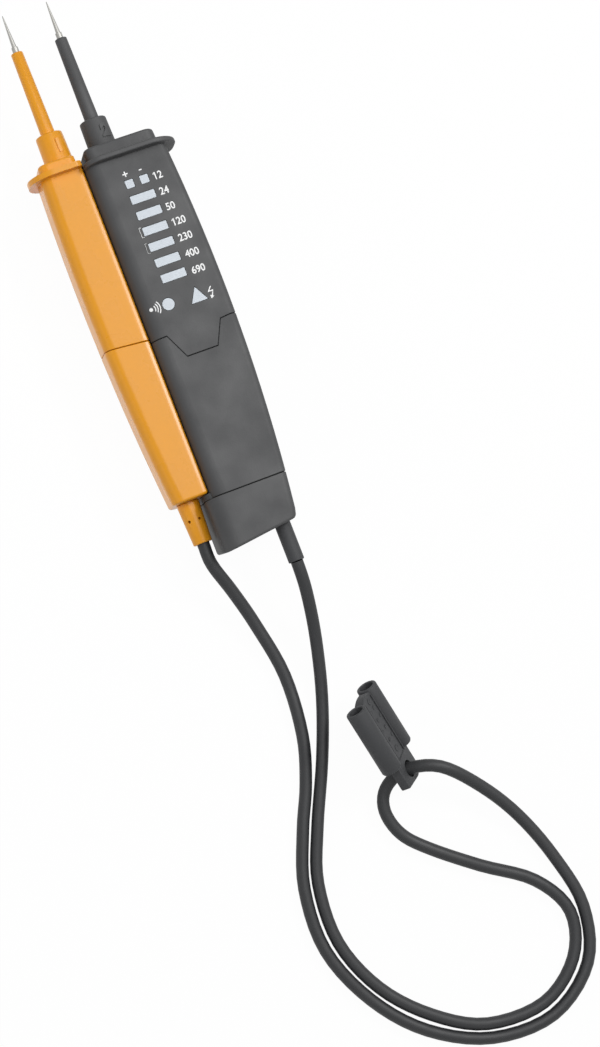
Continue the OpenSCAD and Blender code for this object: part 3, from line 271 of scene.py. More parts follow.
def make_materials():
    """Makes every finish of the tester and gives them by name."""
    tones = bpy.context.scene.tester_colours
    # Spark-eroded ABS: an even, matte grain; the real 0.1 mm grain is drawn at 0.7 mm to show at all
    black = moulded("black ABS, spark eroded", tones.black, 0.68, 0.7, 0.03, level=1.0)
    # ABS from a finely sanded tool: satin, with softer highlights along the long edges
    amber = moulded("amber ABS, satin moulded", tones.amber, 0.28, 0.8, 0.006, mottle=0.03, spread=0.03,
                     level=0.4)
    # Milky polycarbonate: bright and even, with a clouding that light lets through
    window = moulded("milky polycarbonate, moulded", tones.window, 0.3, 2.5, 0.01, mottle=0.05)
    window.node_tree.nodes["Principled BSDF"].inputs["IOR"].default_value = 1.58
    # PVC sheath from an extruder: satin, with faint lengthwise waves
    sheath = moulded("black PVC, extruded", tones.cable, 0.55, 3.0, 0.05, mottle=0.1, spread=0.06)
    # Soft moulded PVC: darker and a little smoother than the housing
    cover = moulded("black soft PVC, moulded", tones.cover, 0.62, 0.9, 0.03, mottle=0.08)
    # Silk-screen ink: flat white, slightly porous over the grain below it
    ink = moulded("white ink, screen printed", tones.print, 0.55, 0.5, 0.01, mottle=0.03)
    return {
        "black": black, "amber": amber, "window": window, "sheath": sheath, "cover": cover, "ink": ink,
        # Nickel-plated steel, ground to a point: bright, with fine rings round the axis
        "steel": metal("nickel-plated steel, ground", linear("#a5a4a0"), 0.42, (1, 3, 1), 0.0005),
        # Spring steel strip, rolled
        "spring": metal("spring steel, rolled", linear("#b9bcbf"), 0.32, (5, 1, 1), 0.004),
        # Brass contacts, stamped
        "brass": metal("brass, stamped", linear("#c9a659"), 0.3, (1, 4, 1), 0.004),
        # Glass-fibre laminate under green solder mask: glossy, with the weave showing through
        "laminate": moulded("green solder mask on laminate", linear("#2f6b45"), 0.3, 1.2, 0.015),
        # Epoxy chip bodies, moulded, matte
        "chip": moulded("black epoxy, moulded", linear("#26282a"), 0.6, 0.4, 0.02),
        # Lacquered film resistors
        "lacquer": moulded("blue lacquer, dipped", linear("#7ea3b8"), 0.3, 1.5, 0.02),
        # Clear lamp bodies
        "lamp": moulded("clear epoxy, cast", linear("#e9ece8"), 0.15, 1.5, 0.004),
        # Unpainted inner mouldings
        "inner": moulded("grey polyamide, moulded", linear("#9b9c99"), 0.5, 1.0, 0.03),
        # Shrunk film jacket of the cells
        "jacket": moulded("printed film, shrunk", linear("#586a7d"), 0.25, 4.0, 0.02),
        # Silicone seals
        "seal": moulded("grey silicone, moulded", linear("#5d5f60"), 0.6, 0.8, 0.02),
        # Silicone-covered single leads
        "lead": moulded("red silicone, extruded", linear("#a8322b"), 0.45, 1.5, 0.02),
    }


FINISHES = {}


def finish(name):
    """Gives a finish by its short name, all of them being made on the first call."""
    if not FINISHES:
        FINISHES.update(make_materials())
    return FINISHES[name]


# Forms


def hand_over(form, name, finish_name, body=None, nodes=(), smooth=38, even=False):
    """Turns a form in millimetres into a shown piece in metres, with its finish, body and CAD nodes."""
    bmesh.ops.scale(form, vec=Vector((MM, MM, MM)), verts=form.verts)
    mesh = bpy.data.meshes.new(name)
    form.to_mesh(mesh)
    form.free()
    mesh.materials.append(finish(finish_name))
    mesh.polygons.foreach_set("use_smooth", [True] * len(mesh.polygons))
    mesh.set_sharp_from_angle(angle=math.radians(smooth))
    made = bpy.data.objects.new(name, mesh)
    bpy.context.scene.collection.objects.link(made)
    if even:
        weights = made.modifiers.new("Even shading", "WEIGHTED_NORMAL")
        weights.keep_sharp = True
    if nodes:
        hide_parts(*nodes)
    if body:
        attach(made, body)
    return made


def tidy(form):
    """Merges doubled points and turns all faces outwards."""
    bmesh.ops.remove_doubles(form, verts=form.verts, dist=0.0005)
    bmesh.ops.dissolve_degenerate(form, dist=0.0001, edges=form.edges)
    bmesh.ops.recalc_face_normals(form, faces=form.faces)
    if form.calc_volume(signed=True) < 0:
        bmesh.ops.reverse_faces(form, faces=form.faces)
    return form


def join(form, *others):
    """Adds other forms to a form."""
    for other in others:
        scratch = bpy.data.meshes.new("scratch")
        other.to_mesh(scratch)
        other.free()
        form.from_mesh(scratch)
        bpy.data.meshes.remove(scratch)
    return form


def settled(holder):
    """Gives an object's mesh as a form, with its modifiers or its curve worked out."""
    ready = holder.evaluated_get(bpy.context.evaluated_depsgraph_get())
    form = bmesh.new()
    form.from_mesh(ready.to_mesh())
    ready.to_mesh_clear()
    return form


def solid_of(line):
    """Gives a scratch curve or text as a form, and takes the curve away."""
    holder = bpy.data.objects.new("scratch", line)
    bpy.context.scene.collection.objects.link(holder)
    form = settled(holder)
    bpy.data.objects.remove(holder)
    bpy.data.curves.remove(line)
    return form


def carve(form, tool):
    """Cuts a tool out of a form."""
    holders = []
    for part in (form, tool):
        scratch = bpy.data.meshes.new("scratch")
        part.to_mesh(scratch)
        part.free()
        holder = bpy.data.objects.new("scratch", scratch)
        bpy.context.scene.collection.objects.link(holder)
        holders.append(holder)
    cut = holders[0].modifiers.new("Cut", "BOOLEAN")
    cut.operation = "DIFFERENCE"
    cut.solver = "EXACT"
    cut.use_self = True
    cut.object = holders[1]
    made = settled(holders[0])
    for holder in holders:
        scratch = holder.data
        bpy.data.objects.remove(holder)
        bpy.data.meshes.remove(scratch)
    bmesh.ops.remove_doubles(made, verts=made.verts, dist=0.0005)
    return made


def pull(form, faces, offset, keep=True):
    """Extrudes faces and gives the new end faces; the old ones stay only as the start of a solid."""
    pulled = bmesh.ops.extrude_face_region(form, geom=faces)["geom"]
    verts = [part for part in pulled if isinstance(part, bmesh.types.BMVert)]
    bmesh.ops.translate(form, vec=Vector(offset), verts=verts)
    if not keep:
        bmesh.ops.delete(form, geom=faces, context="FACES")
    return [part for part in pulled if isinstance(part, bmesh.types.BMFace)]


def split(form, x):
    """Cuts a form's faces along a plane across it, without opening them."""
    bmesh.ops.bisect_plane(form, geom=form.verts[:] + form.edges[:] + form.faces[:], dist=0.0001,
                           plane_co=(x, 0, 0), plane_no=(1, 0, 0))


def border(faces):
    """Gives the edges round a region of faces."""
    region = set(faces)
    return [edge for edge in {e for face in faces for e in face.edges}
            if len([face for face in edge.link_faces if face in region]) == 1]


def round_off(form, edges, radius, steps=3):
    """Rounds edges, in the order of the form, so that each run gives the same result."""
    form.edges.index_update()
    bmesh.ops.bevel(form, geom=sorted(edges, key=lambda edge: edge.index), offset=radius,
                    offset_type="OFFSET", segments=steps, profile=0.5, affect="EDGES", clamp_overlap=True,
                    material=-1)


def flat(corners, radii=(), steps=6):
    """Makes one flat face from its corners, each rounded by its radius."""
    form = bmesh.new()
    verts = [form.verts.new(corner) for corner in corners]
    form.faces.new(verts)
    for vert, radius in zip(verts, radii):
        if radius > 0:
            bmesh.ops.bevel(form, geom=[vert], offset=radius, offset_type="OFFSET", segments=steps,
                            profile=0.5, affect="VERTICES", clamp_overlap=False, material=-1)
    return form


def slab(low, high, radii, steps=6, rim=0.0, axis="Y"):
    """Makes a plate between two corners, with rounded corners across the axis and a rounded rim."""
    if axis == "Y":
        corners = [(low[0], low[1], low[2]), (high[0], low[1], low[2]), (high[0], low[1], high[2]),
                   (low[0], low[1], high[2])]
        offset = (0, high[1] - low[1], 0)
    else:
        corners = [(low[0], low[1], low[2]), (high[0], low[1], low[2]), (high[0], high[1], low[2]),
                   (low[0], high[1], low[2])]
        offset = (0, 0, high[2] - low[2])
    form = flat(corners, radii, steps)
    pull(form, form.faces[:], offset)
    if rim:
        across = 1 if axis == "Y" else 2
        ends = [face for face in form.faces if abs(face.normal[across]) > 0.99]
        round_off(form, {edge for face in ends for edge in face.edges}, rim, 4)
    return tidy(form)


def turned(profile, x, z, steps=64):
    """Turns a profile of (place along the length, radius) round an axis along the length."""
    form = bmesh.new()
    verts = [form.verts.new((x + r, y, z)) for y, r in profile]
    edges = [form.edges.new(pair) for pair in zip(verts, verts[1:])]
    bmesh.ops.spin(form, geom=verts + edges, cent=(x, 0, z), axis=(0, 1, 0), angle=math.tau,
                   steps=steps, use_merge=True)
    return tidy(form)


def disc(radius, depth, place, segments, top=None):
    """Makes a round plate along Z round a place, which may taper to another radius at its top."""
    form = bmesh.new()
    bmesh.ops.create_cone(form, cap_ends=True, segments=segments, radius1=radius,
                          radius2=radius if top is None else top, depth=depth, matrix=place)
    return form


def rod(x, z, y_low, y_high, radius, steps=48):
    """Makes a plain round bar along the length."""
    return turned([(y_low, 0), (y_low, radius), (y_high, radius), (y_high, 0)], x, z, steps)


def meter_side(y):
    """Gives the meter's free side at a place along the length."""
    bow = mm(sizes().side_radius)
    return 28.0 - bow + math.sqrt(bow ** 2 - (y + 5.34) ** 2)


def probe_side(y):
    """Gives the probe's free side at a place along the length."""
    bow = mm(sizes().probe_side_radius)
    return -27.4 + bow - math.sqrt(bow ** 2 - (y - 4.65) ** 2)


def seam_line(x):
    """Gives the place along the length of the meter's seam, with its step."""
    places = [(-99, SEAM_Y), (STEP_X[0], SEAM_Y), (STEP_X[1], STEP_Y), (STEP_X[2], STEP_Y),
              (STEP_X[3], SEAM_Y), (99, SEAM_Y)]
    for (x_a, y_a), (x_b, y_b) in zip(places, places[1:]):
        if x <= x_b:
            return y_a + (y_b - y_a) * (x - x_a) / (x_b - x_a)
    return SEAM_Y


def probe_seam_line(x):
    """Gives the place along the length of the probe's seam, which drops a little towards the meter."""
    return PROBE_SEAM_Y - 2.1 * (x + 31.9) / 23.5


def cap_end_line(x):
    """Gives the place along the length of the cap's lower end, which rises towards the free side."""
    return CAP_END_Y + CAP_RISE * (x - CAP_DOCK_X) / (meter_side(CAP_END_Y) - CAP_DOCK_X)


def body_form(unit, y_high, y_low, inset, high_line=None, low_line=None, high_edge=0.0, low_edge=0.0):
    """Makes a solid length of the meter, its cap or the probe, whose ends may follow a line across it."""
    given = sizes()
    if unit in ("meter", "cap"):
        side, high_x = meter_side, meter_side(0) - inset
        low_x = (DOCK_X if unit == "meter" else CAP_DOCK_X) + inset
        dock = mm(given.dock_radius if unit == "meter" else given.cap_radius)
        radii = [mm(given.back_radius), mm(given.back_radius), mm(given.front_radius), dock]
        corners = [(low_x, inset), (high_x, inset), (high_x, FRONT_Z - inset), (low_x, FRONT_Z - inset)]
        cuts = STEP_X if high_line or low_line else ()
    else:
        side, high_x = probe_side, PROBE_DOCK_X - inset
        low_x = probe_side(0) + inset
        slant = mm(given.slant)
        radii = [mm(given.probe_radius)] * 2 + [0.8, 0.8, mm(given.probe_radius)]
        corners = [(low_x, PROBE_BACK_Z + inset), (high_x, PROBE_BACK_Z + inset),
                   (high_x, PROBE_FRONT_Z - inset - 0.28 * slant), (high_x - slant, PROBE_FRONT_Z - inset),
                   (low_x, PROBE_FRONT_Z - inset)]
        cuts = ()
    radii = [max(radius - inset, 0.5) for radius in radii]
    form = flat([(x, y_high, z) for x, z in corners], radii)
    for x in cuts:
        split(form, x)
    # A first short length clears the step of a seam at the upper end
    lead = 14 if high_line else 0
    steps = max(2, round((y_high - lead - y_low) / 9))
    stops = ([-lead] if lead else []) + [(y_low - y_high + lead) / steps] * steps
    last = form.faces[:]
    for number, stop in enumerate(stops):
        last = pull(form, last, (0, stop, 0), keep=number == 0)
    # The free side bows in towards both ends, and what lies between gives way in part
    fixed = high_x if unit == "probe" else low_x
    for vert in form.verts:
        share = (abs(vert.co.x - fixed) - 8) / (high_x - low_x - 14)
        vert.co.x += min(1, max(0, share)) * (side(vert.co.y) - side(0))
    ends = ((y_low, low_line, low_edge), (y_high, high_line, high_edge))
    borders = []
    for place, line, edge in ends:
        verts = {v for v in form.verts if abs(v.co.y - place) < 0.001}
        caps = [face for face in form.faces if all(v in verts for v in face.verts)]
        borders.append((border(caps), edge))
        for vert in verts:
            if line:
                # The cap's end also leans, so that its back lies higher
                lean = math.tan(math.radians(3.6)) * (FRONT_Z - vert.co.z) if line is cap_end_line else 0
                vert.co.y = line(vert.co.x) + lean
    bmesh.ops.recalc_face_normals(form, faces=form.faces)
    for edges, edge in borders:
        if edge:
            round_off(form, edges, edge)
    bmesh.ops.connect_verts_nonplanar(form, angle_limit=0.0005, faces=form.faces)
    return tidy(form)


def droop(forms, middle, half, right, left):
    """Bends shoulder forms down towards their ends, by the given amounts."""
    for vert in [vert for form in forms for vert in form.verts]:
        across = (vert.co.x - middle) / half
        vert.co.y -= (right if across > 0 else left) * across ** 2


def back_holes(places, z):
    """Makes the countersunk holes for screws in a back."""
    tool = bmesh.new()
    for x, y in places:
        sink = disc(3.0, 1.9, Matrix.Translation((x, y, z + 0.4)), 32, top=1.45)
        shaft = disc(1.45, 9, Matrix.Translation((x, y, z + 4)), 32)
        join(tool, sink, shaft)
    return tool


def screw_places():
    """Gives the places of the two screws in the meter's back."""
    low, high = box_mm("housing_screws")
    middle = (low[1] + high[1]) / 2
    return [(low[0] + 2.3, middle), (high[0] - 2.3, middle)]


def guard_corners():
    """Gives the guards' corner radii: beside the other unit, at the free front and at the free back."""
    given = sizes()
    return [mm(r) for r in (given.guard_radius, given.guard_free_radius, given.guard_back_radius)]


def dock_boss(y):
    """Makes a boss of the meter that the docked probe takes."""
    return slab((DOCK_X - 2.6, y - 7, TIP_Z - 2.5), (DOCK_X + 0.4, y + 7, TIP_Z + 2.5), [0.8] * 4, rim=0.3)


DOCK_PLACES = (27.6, -66.7)
# Lower end of the sleeves, and the floor of the collars' cups a little below it
SLEEVE_FOOT_Y = 66.3
CUP_Y = 66.1


class TESTER_OT_view(bpy.types.Operator):
    """Sets the camera at the photograph's viewing angle"""
    bl_idname = "tester.view"
    bl_label = "Camera"

    def execute(self, context):
        lens = bpy.data.cameras.new("photo_view")
        lens.sensor_fit = "VERTICAL"
        lens.sensor_height = 36
        lens.lens = 84.93
        lens.clip_start = 0.05
        lens.clip_end = 20
        camera = bpy.data.objects.new("photo_view", lens)
        context.scene.collection.objects.link(camera)
        turn = Matrix(((0.91820, -0.36275, 0.15911), (0.34727, 0.93041, 0.11718),
                       (-0.19055, -0.05234, 0.98028))).transposed()
        camera.matrix_world = Matrix.Translation((-0.16698, -0.16340, 0.99428)) @ turn.to_4x4()
        context.scene.camera = camera
        return {"FINISHED"}


def cable_path():
    """Gives close points along the cable's middle, in millimetres."""
    start = Vector((RELIEF_AXIS[0], RELIEF[0][1], RELIEF_AXIS[1]))
    end = Vector((BOOT_AXIS[0], BOOT[0][1], BOOT_AXIS[1]))
    run = Vector((0, 12, 0))
    knots = [start + run, start] + [Vector(p) for p in ROUTE] + [end, end + run]
    points = []
    for a, b, c, d in zip(knots, knots[1:], knots[2:], knots[3:]):
        for t in (0, 0.2, 0.4, 0.6, 0.8):
            points.append(0.5 * (2 * b + (c - a) * t + (2 * a - 5 * b + 4 * c - d) * t ** 2
                                 + (3 * b - a - 3 * c + d) * t ** 3))
    return points + [end]


class TESTER_OT_cable(bpy.types.Operator):
    """Makes the cable that joins the probe to the meter and runs through the cover's eyelet"""
    bl_idname = "tester.cable"
    bl_label = "Cable"

    def execute(self, context):
        points = cable_path()
        line = bpy.data.curves.new("scratch", "CURVE")
        line.dimensions = "3D"
        line.bevel_depth = mm(sizes().cable) / 2
        line.bevel_resolution = 5
        line.use_fill_caps = True
        line.twist_mode = "MINIMUM"
        spline = line.splines.new("POLY")
        spline.points.add(len(points) - 1)
        for knot, point in zip(spline.points, points):
            knot.co = (*point, 1)
        made = hand_over(tidy(solid_of(line)), "cable_dressed", "sheath",
                         nodes=["connecting_cable"], smooth=60)
        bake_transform(made)
        return {"FINISHED"}


class TESTER_OT_tip_cover(bpy.types.Operator):
    """Makes the twin tip cover that hangs on the cable"""
    bl_idname = "tester.tip_cover"
    bl_label = "Tip cover"

    def execute(self, context):
        outer = mm(sizes().cover_tube) / 2
        bore = mm(sizes().cover_bore) / 2
        form = bmesh.new()
        for side in (-1, 1):
            tube = turned([(6.5, 0), (6.5, outer - 0.9), (6.8, outer - 0.3), (7.4, outer), (35.9, outer),
                           (36.35, outer - 0.15), (36.5, outer - 0.45), (36.5, bore + 0.25), (36.2, bore),
                           (8.5, bore), (8.5, 0)], side * 9.5, 0, 40)
            join(form, tube)
        web = flat([(-5.9, 6.4, -2), (5.9, 6.4, -2), (5.9, 35.5, -2), (0, 37.6, -2), (-5.9, 35.5, -2)],
                   [0, 0, 0, 5, 0], 8)
        pull(web, web.faces[:], (0, 0, 4))
        # Long edges of the web stand up as thin ridges beside the tubes
        ridges = [slab((x - 0.3, 7, 1.9), (x + 0.3, 34.5, 2.55), [0.2] * 4, 2, 0.15, "Z")
                  for x in (-4.3, 4.6)]
        tongue = flat([(-8.6, 7.6, -2), (-8.6, -4.4, -2), (8.8, -7.2, -2), (8.8, 7.6, -2)],
                      [0, 0.8, 6.2, 0], 12)
        pull(tongue, tongue.faces[:], (0, 0, 4))
        bmesh.ops.recalc_face_normals(tongue, faces=tongue.faces)
        ends = [face for face in tongue.faces if abs(face.normal.z) > 0.9]
        round_off(tongue, {edge for face in ends for edge in face.edges}, 0.5, 3)
        tongue = carve(tidy(tongue), disc(3.65, 8, Matrix(), 48))
        join(form, tidy(web), tongue, *ridges)
        # Hollow grip dots in staggered pairs and the ring marks at their ends, on both faces
        for face in (-1, 1):
            marks = [(column * 2.1 + (0.9 if row % 2 else -0.7), 30.3 - row * 4.85, 0.95) for row in range(4)
                     for column in (-1, 1)]
            for x, y, radius in marks + [(0, 10.6, 1.5), (0.6, 33.6, 1.3)]:
                mark = disc(radius, 0.44, Matrix.Translation((x, y, face * 2.0)), 20, top=radius - 0.1)
                caps = [f for f in mark.faces if abs(f.normal.z) > 0.9]
                bmesh.ops.inset_region(mark, faces=caps, thickness=0.3, depth=-0.2)
                join(form, mark)
        turn = Euler([math.radians(a) for a in COVER_TURN], "XYZ").to_matrix().to_4x4()
        bmesh.ops.transform(form, matrix=Matrix.Translation(COVER_PLACE) @ turn, verts=form.verts)
        hand_over(form, "tip_cover_dressed", "cover", "cover", ["tip_cover"])
        return {"FINISHED"}


class TESTER_OT_meter_housings(bpy.types.Operator):
    """Makes the meter's upper housing, lower housing and battery cap"""
    bl_idname = "tester.meter_housings"
    bl_label = "Meter housings"

    def execute(self, context):
        given = sizes()
        wall = mm(given.wall)
        gap = mm(given.seam_gap)
        edge = mm(given.seam_edge)
        top_y = METER_GUARD_Y - mm(given.guard)
        upper = body_form("meter", top_y, SEAM_Y, 0, low_line=seam_line, low_edge=edge)
        upper = carve(upper, body_form("meter", top_y - wall, STEP_Y - 3, wall))
        upper = carve(upper, window_tools(mm(given.window_gap)))
        upper = carve(upper, back_holes(screw_places(), 0))
        round_r, free_r, back_r = guard_corners()
        guard = slab((DOCK_X, top_y, 0), (30.9, METER_GUARD_Y, 34), [round_r, back_r, free_r, round_r], 10,
                     mm(given.guard_edge))
        block = slab((-6.0, METER_GUARD_Y - 0.4, 3), (24.2, BLOCK_TOP_Y, 27.5), [4] * 4, 8)
        for vert in block.verts:
            if vert.co.y > BLOCK_TOP_Y - 0.01 and vert.co.x > 12:
                vert.co.x -= 0.4
        block.normal_update()
        ends = [face for face in block.faces if face.normal.y > 0.9]
        round_off(block, border(ends), mm(given.block_edge), 4)
        droop([guard, block], 10.5, 20.4, 1.1, 0.3)
        hook = flat([(-4.6, 57.2, 19), (-9.7, 54.7, 19), (-9.7, 54.3, 19), (-4.6, 53.4, 19)])
        pull(hook, hook.faces[:], (0, 0, 4))
        bmesh.ops.recalc_face_normals(hook, faces=hook.faces)
        round_off(hook, hook.edges[:], 0.3, 2)
        upper = join(upper, guard, block, tidy(hook), dock_boss(DOCK_PLACES[0]))
        hand_over(upper, "upper_housing_dressed", "black", "meter",
                  ["upper_housing"], even=True)

        lower = body_form("meter", SEAM_Y - gap, CAP_TOP_Y + gap, 0, high_line=lambda x: seam_line(x) - gap,
                          high_edge=edge, low_edge=edge)
        lower = carve(lower, body_form("meter", SEAM_Y + 3, CAP_TOP_Y - 3, wall))
        spigot = body_form("meter", SEAM_Y + 5, STEP_Y - 4, wall + 0.15)
        spigot = carve(spigot, body_form("meter", SEAM_Y + 7, STEP_Y - 7, wall + SPIGOT))
        root = body_form("meter", STEP_Y - 0.4, STEP_Y - 4, wall - 0.4)
        root = carve(root, body_form("meter", STEP_Y + 2, STEP_Y - 7, wall + SPIGOT))
        spigot = carve(spigot, back_holes(screw_places(), 0))
        foot_y = CAP_TOP_Y + gap
        boss = turned([(foot_y, INSERT_R), (foot_y, BOSS_R), (BOSS_TOP_Y, BOSS_R), (BOSS_TOP_Y, SHANK_R),
                       (INSERT_TOP_Y, SHANK_R), (INSERT_TOP_Y, INSERT_R), (foot_y, INSERT_R)], *CAP_SCREW, 40)
        rib = slab((-1.0, foot_y, 25.2), (3.0, BOSS_TOP_Y, 28.4), [0] * 4, 1)
        # A ledge closes the step below the docked probe's end
        ledge = slab((CAP_DOCK_X, foot_y, 0), (-7.8, PROBE_END_Y - 0.35, 26), [4, 0, 0, 5.5], 8, rim=edge)
        lower = join(lower, spigot, root, boss, rib, ledge, dock_boss(DOCK_PLACES[1]))
        hand_over(lower, "lower_housing_dressed", "black", "meter",
                  ["lower_housing"], even=True)

        cap = body_form("cap", CAP_TOP_Y, CAP_END_Y, 0, low_line=cap_end_line, high_edge=edge,
                        low_edge=mm(given.end_edge))
        floor_y = CAP_END_Y + CAP_RISE + 3.6
        seat_y = CAP_END_Y + CAP_RISE + 3.4
        cap = carve(cap, body_form("meter", CAP_TOP_Y + 3, floor_y, wall))
        cap = carve(cap, rod(*BOOT_AXIS, CAP_END_Y - 3, CAP_TOP_Y + 6, 3.6, 64))
        cap = carve(cap, turned([(CAP_END_Y - 3, 0), (CAP_END_Y - 3, HEAD_R), (seat_y, HEAD_R),
                                 (seat_y, SHANK_R), (CAP_TOP_Y, SHANK_R), (CAP_TOP_Y, 0)], *CAP_SCREW, 48))
        lip = body_form("meter", CAP_TOP_Y + 3, CAP_TOP_Y - 3, wall + 0.3)
        lip = carve(lip, body_form("meter", CAP_TOP_Y + 5, CAP_TOP_Y - 5, wall + LIP))
        lip = carve(lip, slab((-3.3, CAP_TOP_Y, 21.5), (5.3, CAP_TOP_Y + 4, 30), [0] * 4, 1))
        seat = body_form("meter", CAP_TOP_Y - 1.2, CAP_TOP_Y - 3, wall - 0.4)
        seat = carve(seat, body_form("meter", CAP_TOP_Y + 1, CAP_TOP_Y - 5, wall + LIP))
        pillar = turned([(floor_y - 0.4, SHANK_R), (floor_y - 0.4, PILLAR_R), (CAP_TOP_Y - 0.15, PILLAR_R),
                         (CAP_TOP_Y - 0.15, SHANK_R), (floor_y - 0.4, SHANK_R)], *CAP_SCREW, 48)
        post = slab((0.5, floor_y - 0.4, 8.25), (11.2, CAP_TOP_Y + 4.1, 11.25), [0] * 4, 1)
        cap = join(cap, lip, seat, pillar, post)
        hand_over(cap, "battery_cap_dressed", "black", "battery_door",
                  ["battery_cap"], even=True)
        return {"FINISHED"}


class TESTER_OT_probe_housings(bpy.types.Operator):
    """Makes the second probe's upper and lower housing"""
    bl_idname = "tester.probe_housings"
    bl_label = "Probe housings"

    def execute(self, context):
        given = sizes()
        wall = mm(given.wall)
        gap = mm(given.seam_gap)
        edge = mm(given.seam_edge)
        top_y = PROBE_GUARD_Y - mm(given.guard)
        low, high = box_mm("probe_screw")
        screw = ((low[0] + high[0]) / 2, (low[1] + high[1]) / 2)
        upper = body_form("probe", top_y, PROBE_SEAM_Y, 0, low_line=probe_seam_line, low_edge=edge)
        upper = carve(upper, body_form("probe", top_y - wall, PROBE_SEAM_Y - 5, wall))
        round_r, free_r, back_r = guard_corners()
        guard = slab((-30.9, top_y, 0), (PROBE_DOCK_X, PROBE_GUARD_Y, 30), [back_r, round_r, 3, free_r], 10,
                     mm(given.guard_edge))
        block = slab((-25.3, PROBE_GUARD_Y - 0.4, 4), (-9.2, BLOCK_TOP_Y, 25), [4] * 4, 8)
        ends = [face for face in block.faces if face.normal.y > 0.9]
        round_off(block, border(ends), mm(given.block_edge), 4)
        upper = carve(upper, dock_slot(DOCK_PLACES[0]))
        upper = carve(upper, back_holes([screw], PROBE_BACK_Z))
        block = carve(block, slab((-10.1, 51, 18.6), (-7.4, 60.5, 23.4), [0] * 4, 1))
        guard = carve(guard, slab((-10.1, 51, 18.6), (-7.4, 60.5, 23.4), [0] * 4, 1))
        upper = join(upper, guard, block)
        hand_over(upper, "probe_upper_dressed", "amber", "second_probe",
                  ["probe_upper_housing"], even=True)

        lower = body_form("probe", PROBE_SEAM_Y, PROBE_END_Y, 0, high_line=lambda x: probe_seam_line(x) - gap,
                          high_edge=edge, low_edge=mm(given.end_edge))
        lower = carve(lower, body_form("probe", PROBE_SEAM_Y + 3, PROBE_END_Y + wall, wall))
        spigot = body_form("probe", PROBE_SEAM_Y + 5, PROBE_SEAM_Y - 6, wall + 0.15)
        spigot = carve(spigot, body_form("probe", PROBE_SEAM_Y + 7, PROBE_SEAM_Y - 8, wall + SPIGOT))
        lower = carve(lower, dock_slot(DOCK_PLACES[1]))
        lower = carve(lower, rod(RELIEF_AXIS[0], RELIEF_AXIS[1], PROBE_END_Y - 3, PROBE_END_Y + 4, 3.85, 64))
        lower = join(lower, carve(spigot, back_holes([screw], PROBE_BACK_Z)))
        hand_over(lower, "probe_lower_dressed", "amber", "second_probe",
                  ["probe_lower_housing"], even=True)
        return {"FINISHED"}


def dock_slot(y):
    """Makes the tool that cuts a slot for a boss of the meter."""
    return slab((DOCK_X - 3, y - 7.4, TIP_Z - 2.9), (DOCK_X + 3, y + 7.4, TIP_Z + 2.9), [0] * 4, 1)


class TESTER_OT_tips(bpy.types.Operator):
    """Makes the needles, insulating sleeves and collars with their embossed digits"""
    bl_idname = "tester.tips"
    bl_label = "Tips"

    def execute(self, context):
        units = [("meter", METER_AXIS_X, "meter", "black", "2", 28),
                 ("probe", PROBE_AXIS_X, "second_probe", "amber", "1", 18)]
        foot = mm(sizes().needle) / 2
        root = mm(sizes().sleeve_root) / 2
        shoulder_y = SLEEVE_TOP_Y + 2.6
        for unit, x, body, tone, digit, turn in units:
            needle = turned([(41.6, 0), (41.6, foot), (shoulder_y - 0.15, foot), (shoulder_y, foot - 0.15),
                             (shoulder_y + 0.02, 0.95), (POINT_Y - 1.2, 0.27), (POINT_Y - 0.15, 0.14),
                             (POINT_Y, 0)], x, TIP_Z, 40)
            hand_over(needle, unit + "_needle_dressed", "steel", body, [unit + "_needle"])
            hollow = foot + 0.1
            sleeve = turned([(SLEEVE_FOOT_Y, hollow), (SLEEVE_FOOT_Y, root), (COLLAR[1][1], root),
                             (SLEEVE_TOP_Y - 0.4, 2.5), (SLEEVE_TOP_Y - 0.12, 2.38), (SLEEVE_TOP_Y, 2.1),
                             (SLEEVE_TOP_Y, hollow), (SLEEVE_FOOT_Y, hollow)], x, TIP_Z, 56)
            hand_over(sleeve, unit + "_sleeve_dressed", tone, body, [unit + "_sleeve"])
            top = COLLAR[1][1]
            bore, cup = foot + 0.2, root + 0.2
            collar = turned([(BLOCK_TOP_Y, bore), (BLOCK_TOP_Y, 5.9), (top - 0.7, 5.62), (top - 0.25, 5.5),
                             (top, 5.15), (top, cup), (CUP_Y, cup), (CUP_Y, bore), (BLOCK_TOP_Y, bore)],
                            x, TIP_Z, 72)
            figure = lettering(digit, 5.8, 0.9, bold=0.055)
            # The digit is cut into strips and wrapped on the collar's front, turned towards its right side
            for strip in range(-4, 5):
                split(figure, 0.5 * strip)
            for vert in figure.verts:
                angle = vert.co.x / 5.7 + math.radians(turn)
                radius = 5.74 + (vert.co.z if vert.co.z > 0 else -0.3)
                vert.co = (x + radius * math.sin(angle), CUP_Y + vert.co.y, TIP_Z + radius * math.cos(angle))
            bmesh.ops.recalc_face_normals(figure, faces=figure.faces)
            hand_over(join(collar, figure), unit + "_collar_dressed", tone, body, [unit + "_collar"])
        return {"FINISHED"}


def lettering(words, height, depth, bold=0.0):
    """Makes figures as a form that is centred on the origin, flat in the XY plane and as thick as asked."""
    line = bpy.data.curves.new("scratch", "FONT")
    line.body = words
    line.size = 1
    line.offset = bold
    line.extrude = 0.5
    line.resolution_u = 6
    line.fill_mode = "BOTH"
    form = solid_of(line)
    bmesh.ops.remove_doubles(form, verts=form.verts, dist=0.0001)
    low = [min(v.co[i] for v in form.verts) for i in range(3)]
    high = [max(v.co[i] for v in form.verts) for i in range(3)]
    grow = height / (high[1] - low[1])
    middle = Vector([(a + b) / 2 for a, b in zip(low, high)])
    bmesh.ops.translate(form, vec=-middle, verts=form.verts)
    bmesh.ops.scale(form, vec=Vector((grow, grow, depth)), verts=form.verts)
    return form


